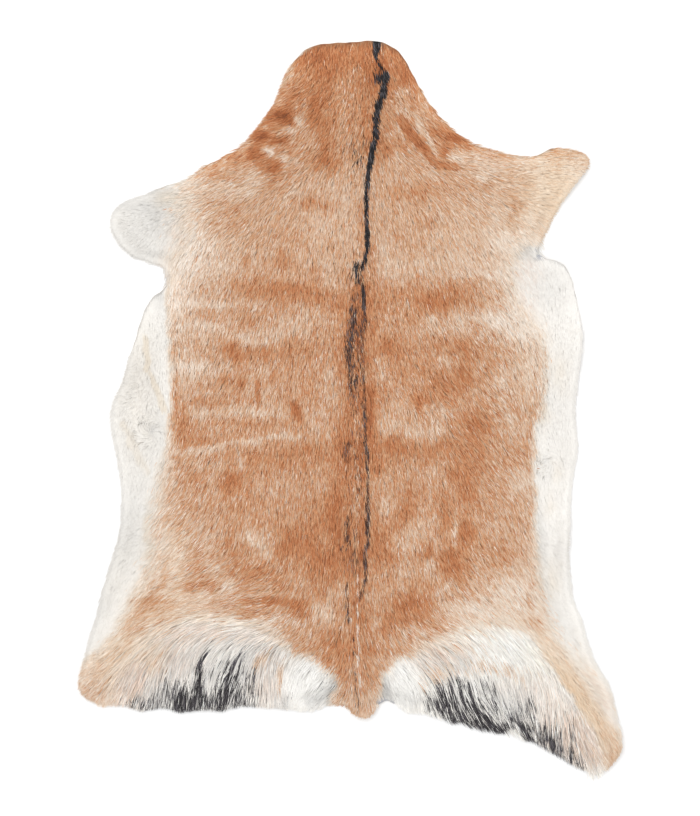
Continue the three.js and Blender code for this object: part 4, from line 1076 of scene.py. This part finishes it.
def hairMesh(name, points, widths, roll, colours, material, cells):
    # flat tapering blades, two corners at each point and one at the tip
    count, nodes = points.shape[:2]
    pairs = nodes - 1
    ahead = np.gradient(points, axis=1)[:, :pairs]
    ahead /= np.linalg.norm(ahead, axis=2)[:, :, None]
    side = np.cross(ahead, np.array([0, 0, 1.0]))
    side /= np.maximum(np.linalg.norm(side, axis=2), 1e-6)[:, :, None]
    up = np.cross(side, ahead)
    lean = np.cos(roll)[:, None, None] * side + np.sin(roll)[:, None, None] * up
    half = (widths[:, None] * hairTaper(pairs)[None, :])[:, :, None] / 2
    corners = np.empty((count, 2 * pairs + 1, 3))
    corners[:, 0:2 * pairs:2] = points[:, :pairs] - lean * half
    corners[:, 1:2 * pairs:2] = points[:, :pairs] + lean * half
    corners[:, -1] = points[:, -1]
    perHair = 2 * pairs + 1
    start = np.arange(count)[:, None] * perHair
    quads = np.concatenate([[2 * k, 2 * k + 1, 2 * k + 3, 2 * k + 2] for k in range(pairs - 1)])
    pattern = np.concatenate([quads, [2 * pairs - 2, 2 * pairs - 1, 2 * pairs]]).astype(int)
    loops = (start + pattern[None, :]).ravel()
    sizes = np.array([4] * (pairs - 1) + [3])
    starts = np.concatenate([[0], np.cumsum(sizes)[:-1]])
    mesh = bpy.data.meshes.new(name)
    mesh.vertices.add(count * perHair)
    mesh.vertices.foreach_set("co", corners.astype(np.float32).ravel())
    mesh.loops.add(len(loops))
    mesh.loops.foreach_set("vertex_index", loops.astype(np.int32))
    mesh.polygons.add(count * pairs)
    loopStarts = (np.arange(count)[:, None] * len(pattern) + starts[None, :]).ravel()
    mesh.polygons.foreach_set("loop_start", loopStarts.astype(np.int32))
    mesh.update(calc_edges=True)
    mesh.polygons.foreach_set("use_smooth", np.ones(count * pairs, bool))

    along = np.append(np.repeat(np.linspace(0, 0.8, pairs), 2), 1.0)
    tone = mesh.attributes.new("coatTone", "FLOAT_COLOR", "POINT")
    rgba = np.ones((count, perHair, 4), np.float32)
    rgba[:, :, :3] = colours[:, None, :]
    tone.data.foreach_set("color", rgba.ravel())
    reach = mesh.attributes.new("hairAlong", "FLOAT", "POINT")
    reach.data.foreach_set("value", np.tile(along, count).astype(np.float32))

    # each hair has a cell of its own in the unwrapped picture, neighbours beside neighbours
    across, tall, sheetSize = cells
    columns = sheetSize // across
    inset = 0.3
    index = np.arange(count)
    low = np.column_stack([(index % columns) * across + inset, (index // columns) * tall + inset])
    wide, high = across - 2 * inset, tall - 2 * inset
    cornerU = np.append(np.tile([0.0, 1.0], pairs), 0.5)
    spot = np.column_stack([cornerU * wide, along / along.max() * high])
    uv = (low[:, None, :] + spot[None, pattern, :]) / sheetSize
    layer = mesh.uv_layers.new(name="OFBake")
    layer.data.foreach_set("uv", uv.astype(np.float32).ravel())
    mesh.materials.append(material)
    mesh.validate()
    piece = bpy.data.objects.new(name, mesh)
    bpy.context.scene.collection.objects.link(piece)
    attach(piece, "root")
    return piece


def hairTaper(pairs):
    return np.interp(np.linspace(0, 1, pairs + 1)[:-1], *zip(*growth["taper"]))


def bySheetRows(roots, columns):
    # order the hairs in rows down the hide, each row from left to right
    order = np.argsort(-roots[:, 1], kind="stable")
    rows = np.arange(len(roots)) // columns
    return order[np.lexsort((roots[order, 0], rows))]


# Materials
def setInputs(tree, node, inputs):
    # each named input gets a value, or a link from another node's output
    for label, value in inputs.items():
        if isinstance(value, bpy.types.NodeSocket):
            tree.links.new(value, node.inputs[label])
        else:
            node.inputs[label].default_value = value


def addNode(tree, kind, inputs, **settings):
    node = tree.nodes.new("ShaderNode" + kind)
    for label, value in settings.items():
        setattr(node, label, value)
    setInputs(tree, node, inputs)
    return node


def nodeGroup(name, inputs, outputs):
    group = bpy.data.node_groups.new(name, "ShaderNodeTree")
    for label, kind, value in inputs:
        socket = group.interface.new_socket(name=label, in_out="INPUT", socket_type="NodeSocket" + kind)
        if value is not None:
            socket.default_value = value
    for label, kind in outputs:
        group.interface.new_socket(name=label, in_out="OUTPUT", socket_type="NodeSocket" + kind)
    return group, group.nodes.new("NodeGroupInput").outputs, group.nodes.new("NodeGroupOutput")


def palenessGroup():
    # one value on dark hair and another on pale hair
    group, given, made = nodeGroup(
        "byPaleness",
        [("Coat Colour", "Color", None), ("On Dark", "Float", 0.6), ("On Pale", "Float", 0.9)],
        [("Value", "Float")])
    light = addNode(group, "RGBToBW", {"Color": given["Coat Colour"]})
    pick = addNode(group, "MapRange", {
        "Value": light.outputs["Val"], "From Min": 0.38, "From Max": 0.78,
        "To Min": given["On Dark"], "To Max": given["On Pale"]})
    setInputs(group, made, {"Value": pick.outputs["Result"]})
    return group


def fibreGroup(shade):
    # hair colour from root to tip, darker at the root partly as the hair's own colour and partly as painted
    # shade, with fine flecks along it
    group, given, made = nodeGroup(
        "hairFibre",
        [("Coat Colour", "Color", None), ("Along Hair", "Float", 0.5), ("Root Shade", "Float", 0.6),
         ("Pale Root Shade", "Float", 0.9), ("Tip Light", "Float", 1.05),
         ("Fleck Size", "Float", 400.0), ("Fleck Amount", "Float", 0.12)],
        [("Colour", "Color"), ("Roughness", "Float")])
    paleness = addNode(group, "Group", {
        "Coat Colour": given["Coat Colour"], "On Dark": given["Root Shade"],
        "On Pale": given["Pale Root Shade"]}, node_tree=shade)
    rise = addNode(group, "MapRange", {
        "Value": given["Along Hair"], "To Min": paleness.outputs["Value"],
        "To Max": given["Tip Light"]}, interpolation_type="SMOOTHSTEP")
    place = addNode(group, "TexCoord", {})
    fleck = addNode(group, "TexNoise", {"Vector": place.outputs["Object"], "Scale": given["Fleck Size"]})
    centred = addNode(group, "Math", {0: fleck.outputs["Fac"], 1: 0.5}, operation="SUBTRACT")
    scaled = addNode(group, "Math", {0: centred.outputs[0], 1: given["Fleck Amount"], 2: 1.0},
                     operation="MULTIPLY_ADD")
    gain = addNode(group, "Math", {0: rise.outputs["Result"], 1: scaled.outputs[0]}, operation="MULTIPLY")
    tint = addNode(group, "VectorMath", {0: given["Coat Colour"], "Scale": gain.outputs[0]},
                   operation="SCALE")
    rough = addNode(group, "MapRange", {"Value": fleck.outputs["Fac"], "To Min": 0.48, "To Max": 0.66})
    setInputs(group, made, {"Colour": tint.outputs["Vector"], "Roughness": rough.outputs["Result"]})
    return group


def principled(name):
    material = bpy.data.materials.new(name)
    material.use_nodes = True
    return material, material.node_tree, material.node_tree.nodes["Principled BSDF"]


hairLook = dict(
    short=dict(rootShade=0.68, paleRootShade=0.99, tipLight=1.06, fleckSize=420.0, fleckAmount=0.14),
    long=dict(rootShade=0.58, paleRootShade=0.88, tipLight=1.06, fleckSize=300.0, fleckAmount=0.14),
    specular=0.35,
)


def hairMaterial(name, look, group):
    material, tree, shader = principled(name)
    tone = addNode(tree, "Attribute", {}, attribute_name="coatTone")
    reach = addNode(tree, "Attribute", {}, attribute_name="hairAlong")
    fibre = addNode(tree, "Group", {
        "Coat Colour": tone.outputs["Color"], "Along Hair": reach.outputs["Fac"],
        "Root Shade": look["rootShade"], "Pale Root Shade": look["paleRootShade"],
        "Tip Light": look["tipLight"], "Fleck Size": look["fleckSize"],
        "Fleck Amount": look["fleckAmount"]}, node_tree=group)
    setInputs(tree, shader, {
        "Base Color": fibre.outputs["Colour"], "Roughness": fibre.outputs["Roughness"],
        "Specular IOR Level": hairLook["specular"]})
    return material


# The tanned skin itself
skin = dict(
    thickness=0.0013,
    step=0.009,              # spacing of its mesh, metres
    edgeGap=0.45,            # least distance of a point from the edge, as a share of that
    ringStep=0.004,          # spacing of the points along its edge
    ringSmoothing=0.0025,
    longSmoothing=0.005,     # the edge under the thigh hair is smoother
    clearance=0.00005,       # it stands this far above the solid's underside
    insetShort=-0.0004,      # the cut edge lies this far inside the solid's rim at the short hair
    insetLong=0.015,         # and this far where the thigh hair hangs over it
    fleshColour=(226, 214, 194),
    fleshShade=(196, 180, 158),
    underDark=0.66,          # how much dimmer the skin is than its hair, under dark and pale hair
    underPale=0.97,
    grainSize=900.0,
    grainDepth=0.00018,
    showThrough=0.22,        # how far dark roots show on the flesh side
    # bare spots beside the tail and under the right foreleg, where no hair grows and the skin is coloured a
    # grey of painted shadow; rows as the coat's patches
    bareSpots=[(46, 851, 17, 9, 12, 1.0), (58, 862, 10, 6, 30, 0.6), (238, 268, 7, 9, 1.0),
               (238, 279, 15, 2.2, 1.0)],
    bareShadowGrey=(196, 197, 203),
    # the edge under the long hair, in millimetres: where it begins down the hide, how far out
    # it reaches, and how far to each side of the tail it starts
    longEdge=dict(top=(846, 858), side=(290, 312), tail=14, tailHalf=(44, 62)),
)


def skinOutline():
    ring = smoothLoop(evenLoop(rim, skin["ringStep"]), skin["ringStep"], skin["ringSmoothing"])
    ahead = np.roll(ring, -1, axis=0) - np.roll(ring, 1, axis=0)
    inward = np.column_stack([-ahead[:, 1], ahead[:, 0]])
    inward /= np.linalg.norm(inward, axis=1)[:, None]
    down = (hide["length"] / 2 - ring[:, 1]) * 1000
    across = ring[:, 0] * 1000
    place = skin["longEdge"]
    longEdge = smoothStep(down, *place["top"]) * (1 - smoothStep(np.abs(across), *place["side"]))
    longEdge *= smoothStep(np.abs(across - place["tail"]), *place["tailHalf"])
    inset = skin["insetShort"] + (skin["insetLong"] - skin["insetShort"]) * longEdge
    outline = ring + inward * inset[:, None]
    soft = smoothLoop(outline, skin["ringStep"], skin["longSmoothing"])
    return outline + (soft - outline) * smoothStep(longEdge, 0.0, 0.3)[:, None]


def skinMesh(materials):
    outline = skinOutline()
    inner = staggeredGrid(skin["step"])
    inner = inner[signedGap(inner, outline) > skin["step"] * skin["edgeGap"]]
    flat = np.vstack([outline, inner])
    ring = len(outline)
    edges = [(i, (i + 1) % ring) for i in range(ring)]
    verts, _, faces, _, _, _ = delaunay_2d_cdt([Vector(p) for p in flat], edges, [], 1, 1e-6)
    flat = np.array([tuple(v) for v in verts])
    faces = np.array([tuple(f) for f in faces])
    under = sampled(skinUnder, flat) + skin["clearance"]
    count = len(flat)
    co = np.vstack([np.column_stack([flat, under]), np.column_stack([flat, under + skin["thickness"]])])
    turns = np.cross(flat[faces[:, 1]] - flat[faces[:, 0]], flat[faces[:, 2]] - flat[faces[:, 0]])
    faces[turns < 0] = faces[turns < 0][:, ::-1]
    halfEdges = np.vstack([faces[:, [0, 1]], faces[:, [1, 2]], faces[:, [2, 0]]])
    known = {tuple(e) for e in halfEdges}
    border = [(a, b) for a, b in known if (b, a) not in known]
    polygons = [tuple(f[::-1]) for f in faces] + [tuple(f + count) for f in faces]
    polygons += [(a, b, b + count, a + count) for a, b in sorted(border)]
    mesh = bpy.data.meshes.new("tannedSkin")
    mesh.from_pydata([tuple(p) for p in co], [], [tuple(int(i) for i in p) for p in polygons])
    for material in materials:
        mesh.materials.append(material)
    slots = np.array([0] * len(faces) + [1] * len(faces) + [0] * len(border), np.int32)
    mesh.polygons.foreach_set("material_index", slots)
    smooth = np.array([True] * (2 * len(faces)) + [False] * len(border))
    mesh.polygons.foreach_set("use_smooth", smooth)
    # undercoat colour on the hair side, and a faint trace of it on the flesh side
    rng = np.random.default_rng(hide["seed"] + 9)
    tone = np.ones((2 * count, 4), np.float32)
    coatColour = hairColours(flat, flat, shortHair, rng)
    # the bare spots take a grey that paints the shadow falling there
    coatColour[isBare(flat)] = fromScreen(skin["bareShadowGrey"])
    tone[:count, :3] = coatColour
    tone[count:, :3] = coatColour
    layer = mesh.attributes.new("coatTone", "FLOAT_COLOR", "POINT")
    layer.data.foreach_set("color", tone.ravel())
    mesh.validate()
    mesh.update()
    piece = bpy.data.objects.new("tannedSkin", mesh)
    bpy.context.scene.collection.objects.link(piece)
    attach(piece, "root")
    return piece, outline, float(np.abs(turns).sum() / 2)


def grainGroup():
    # the pores and nap of skin, as a height and a light and dark mask
    group, given, made = nodeGroup(
        "skinGrain",
        [("Grain Size", "Float", 900.0), ("Patch Size", "Float", 14.0)],
        [("Height", "Float"), ("Patches", "Float")])
    place = addNode(group, "TexCoord", {}).outputs["Object"]
    pores = addNode(group, "TexVoronoi", {"Vector": place, "Scale": given["Grain Size"]})
    nap = addNode(group, "TexNoise", {"Vector": place, "Scale": given["Grain Size"], "Detail": 6.0})
    cloud = addNode(group, "TexNoise", {"Vector": place, "Scale": given["Patch Size"], "Detail": 5.0})
    both = addNode(group, "Math", {0: pores.outputs["Distance"], 1: 0.5, 2: nap.outputs["Fac"]},
                   operation="MULTIPLY_ADD")
    setInputs(group, made, {"Height": both.outputs[0], "Patches": cloud.outputs["Fac"]})
    return group


def fleshMaterial(group):
    material, tree, shader = principled("fleshSide")
    grain = addNode(tree, "Group", {"Grain Size": skin["grainSize"], "Patch Size": 12.0}, node_tree=group)
    ramp = addNode(tree, "MapRange", {"Value": grain.outputs["Patches"], "From Min": 0.38, "From Max": 0.68})
    blend = addNode(tree, "Mix", {
        "Factor": ramp.outputs["Result"], "A": (*fromScreen(skin["fleshColour"]), 1),
        "B": (*fromScreen(skin["fleshShade"]), 1)}, data_type="RGBA")
    # dark hair roots show faintly through the skin
    tone = addNode(tree, "Attribute", {}, attribute_name="coatTone")
    through = addNode(tree, "Mix", {
        "Factor": skin["showThrough"], "A": blend.outputs["Result"], "B": tone.outputs["Color"]},
        data_type="RGBA", blend_type="MULTIPLY")
    bump = addNode(tree, "Bump", {
        "Strength": 0.6, "Distance": skin["grainDepth"], "Height": grain.outputs["Height"]})
    setInputs(tree, shader, {
        "Base Color": through.outputs["Result"], "Normal": bump.outputs["Normal"],
        "Roughness": 0.88, "Specular IOR Level": 0.2})
    return material


def hairSideMaterial(group, shade):
    material, tree, shader = principled("hairSideSkin")
    grain = addNode(tree, "Group", {"Grain Size": 700.0, "Patch Size": 40.0}, node_tree=group)
    tone = addNode(tree, "Attribute", {}, attribute_name="coatTone")
    under = addNode(tree, "Group", {
        "Coat Colour": tone.outputs["Color"], "On Dark": skin["underDark"],
        "On Pale": skin["underPale"]}, node_tree=shade)
    mottle = addNode(tree, "MapRange", {"Value": grain.outputs["Patches"], "To Min": 0.88, "To Max": 1.12})
    dim = addNode(tree, "Math", {0: under.outputs["Value"], 1: mottle.outputs["Result"]},
                  operation="MULTIPLY")
    tint = addNode(tree, "VectorMath", {0: tone.outputs["Color"], "Scale": dim.outputs[0]},
                   operation="SCALE")
    bump = addNode(tree, "Bump", {
        "Strength": 0.5, "Distance": skin["grainDepth"], "Height": grain.outputs["Height"]})
    setInputs(tree, shader, {
        "Base Color": tint.outputs["Vector"], "Normal": bump.outputs["Normal"], "Roughness": 0.8})
    return material


grain = grainGroup()
shade = palenessGroup()
tannedSkin, skinLoop, skinArea = skinMesh([fleshMaterial(grain), hairSideMaterial(grain, shade)])
print("cut the skin:", round(skinArea, 4), "square metres,", len(tannedSkin.data.polygons), "faces")

fibre = fibreGroup(shade)
shortLook = hairMaterial("shortHairCoat", hairLook["short"], fibre)
longLook = hairMaterial("longHairCoat", hairLook["long"], fibre)
rng = np.random.default_rng(hide["seed"])
thighLoops = [onHide(longHair["leftThigh"]), onHide(longHair["rightThigh"])]
cellArea = hide["mapCell"] ** 2
longArea = cellArea * sum((insideLoop(gridPoints, loop) & insideLoop(gridPoints, skinLoop)).sum()
                          for loop in thighLoops)


def inThighs(xy):
    return insideLoop(xy, thighLoops[0]) | insideLoop(xy, thighLoops[1])


def thighDepth(xy):
    return np.maximum(signedGap(xy, thighLoops[0]), signedGap(xy, thighLoops[1]))


def drawSpread(count, spec):
    return 1 + spec["lengthSpread"] * (rng.random(count) - 0.5) * 2


def drawWidths(count, spec):
    return spec["width"] * (spec["leastWidth"] + spec["widthRange"] * rng.random(count))


def drawRoll(count, spec):
    return np.radians(rng.uniform(-spec["roll"], spec["roll"], count))


def shownPlaces(points, spec):
    return points[:, -2, :2] * spec["shownAt"][0] + points[:, -1, :2] * spec["shownAt"][1]


def growShortHair():
    def keep(xy):
        inside = insideLoop(xy, skinLoop)
        # a thin undercoat of short hair runs on a little under the thigh hair
        thin = smoothStep(thighDepth(xy), 0.0, shortHair["underReach"])
        return inside & ~isBare(xy) & (rng.random(len(xy)) > thin)

    roots = scatterRoots(shortHair["count"], skinArea - longArea, keep, rng)
    change = 1 + patchSum(roots, shortHair["lengths"])
    spread = drawSpread(len(roots), shortHair)
    lengths = shortHair["length"] * np.clip(change, *shortHair["changeLimits"]) * spread
    calm = 1 - smoothStep(tanShare(roots), *shortHair["calmShares"])
    points = growHairs(roots, shortHair, lengths, 2, calm, rng)
    shown = shownPlaces(points, shortHair)
    colours = hairColours(shown, roots, shortHair, rng)
    widths = drawWidths(len(roots), shortHair)
    widths *= 1 + growth["calmWidth"] * calm
    roll = drawRoll(len(roots), shortHair)
    roll *= 1 - growth["calmRoll"] * calm
    names, cells = shortHair["pieces"], shortHair["cells"]
    edges = np.quantile(roots[:, 0], np.linspace(0, 1, len(names) + 1))
    pieces = []
    for k, name in enumerate(names):
        before = roots[:, 0] < edges[k + 1] if k < len(names) - 1 else True
        mine = np.flatnonzero((roots[:, 0] >= edges[k]) & before)
        mine = mine[bySheetRows(roots[mine], cells[2] // cells[0])]
        looks = widths[mine], roll[mine], colours[mine]
        pieces.append(hairMesh(name, points[mine], *looks, shortLook, cells))
        print("grew", name, len(mine), "hairs")
    return pieces


def growLongHair():
    def keep(xy):
        inside = insideLoop(xy, skinLoop) & inThighs(xy)
        return inside & ~isBare(xy)

    roots = scatterRoots(longHair["count"], longArea, keep, rng)
    depth = np.clip(thighDepth(roots) / longHair["edgeReach"], 0, 1)
    spread = drawSpread(len(roots), longHair)
    edgeLength = longHair["edgeLength"]
    lengths = longHair["length"] * (edgeLength + (1 - edgeLength) * depth) * spread
    points = growHairs(roots, longHair, lengths, 4, np.zeros(len(roots)), rng)
    shown = shownPlaces(points, longHair)
    colours = hairColours(shown, roots, longHair, rng)
    widths = drawWidths(len(roots), longHair)
    roll = drawRoll(len(roots), longHair)
    cells = longHair["cells"]
    mine = bySheetRows(roots, cells[2] // cells[0])
    looks = widths[mine], roll[mine], colours[mine]
    piece = hairMesh(longHair["piece"], points[mine], *looks, longLook, cells)
    print("grew", longHair["piece"], len(roots), "hairs")
    return piece


hairPieces = growShortHair() + [growLongHair()]
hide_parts("goatskin")

# Floor, light and camera
studio = dict(
    floorColour=(252, 252, 252),
    floorSize=8.0,
    floorDrop=0.0003,        # the floor lies this far below the hide
    skyStrength=0.93,
    keySize=3.2,
    keyHeight=2.4,
    keyPower=32.0,
    keyPlace=(-0.9, 1.1),
    lens=85.0,
    sensor=36.0,
    focusHeight=0.006,       # the coat's height, where the scale below holds
    imageHeight=816,         # photo, pixels
    pixelSize=0.001291,      # metres of hide for each of its pixels
)


def buildStudio():
    half = studio["floorSize"] / 2
    mesh = bpy.data.meshes.new("paleFloor")
    corners = [(-half, -half, 0), (half, -half, 0), (half, half, 0), (-half, half, 0)]
    mesh.from_pydata(corners, [], [(0, 1, 2, 3)])
    floor = bpy.data.objects.new("paleFloor", mesh)
    bpy.context.scene.collection.objects.link(floor)
    material, tree, shader = principled("floorPaint")
    setInputs(tree, shader, {
        "Base Color": (*fromScreen(studio["floorColour"]), 1), "Roughness": 0.9, "Specular IOR Level": 0.1})
    mesh.materials.append(material)
    floor.location.z = -studio["floorDrop"]

    world = bpy.data.worlds.new("softRoom")
    world.use_nodes = True
    sky = world.node_tree.nodes["Background"]
    setInputs(world.node_tree, sky, {"Color": (1, 1, 1, 1), "Strength": studio["skyStrength"]})
    bpy.context.scene.world = world

    lamp = bpy.data.lights.new("softKey", "AREA")
    lamp.shape = "DISK"
    lamp.size = studio["keySize"]
    lamp.energy = studio["keyPower"]
    key = bpy.data.objects.new("softKey", lamp)
    key.location = (*studio["keyPlace"], studio["keyHeight"])
    key.rotation_euler = (-key.location).to_track_quat("-Z", "Y").to_euler()
    bpy.context.scene.collection.objects.link(key)

    lens = bpy.data.cameras.new("aboveHide")
    lens.lens = studio["lens"]
    lens.sensor_fit = "VERTICAL"
    lens.sensor_height = studio["sensor"]
    camera = bpy.data.objects.new("aboveHide", lens)
    coverage = studio["imageHeight"] * studio["pixelSize"]
    away = coverage * studio["lens"] / studio["sensor"]
    camera.location = (0, 0, studio["focusHeight"] + away)
    bpy.context.scene.collection.objects.link(camera)
    bpy.context.scene.camera = camera
    bpy.context.scene.view_settings.view_transform = "Standard"


buildStudio()
print("set up the floor, light and camera")
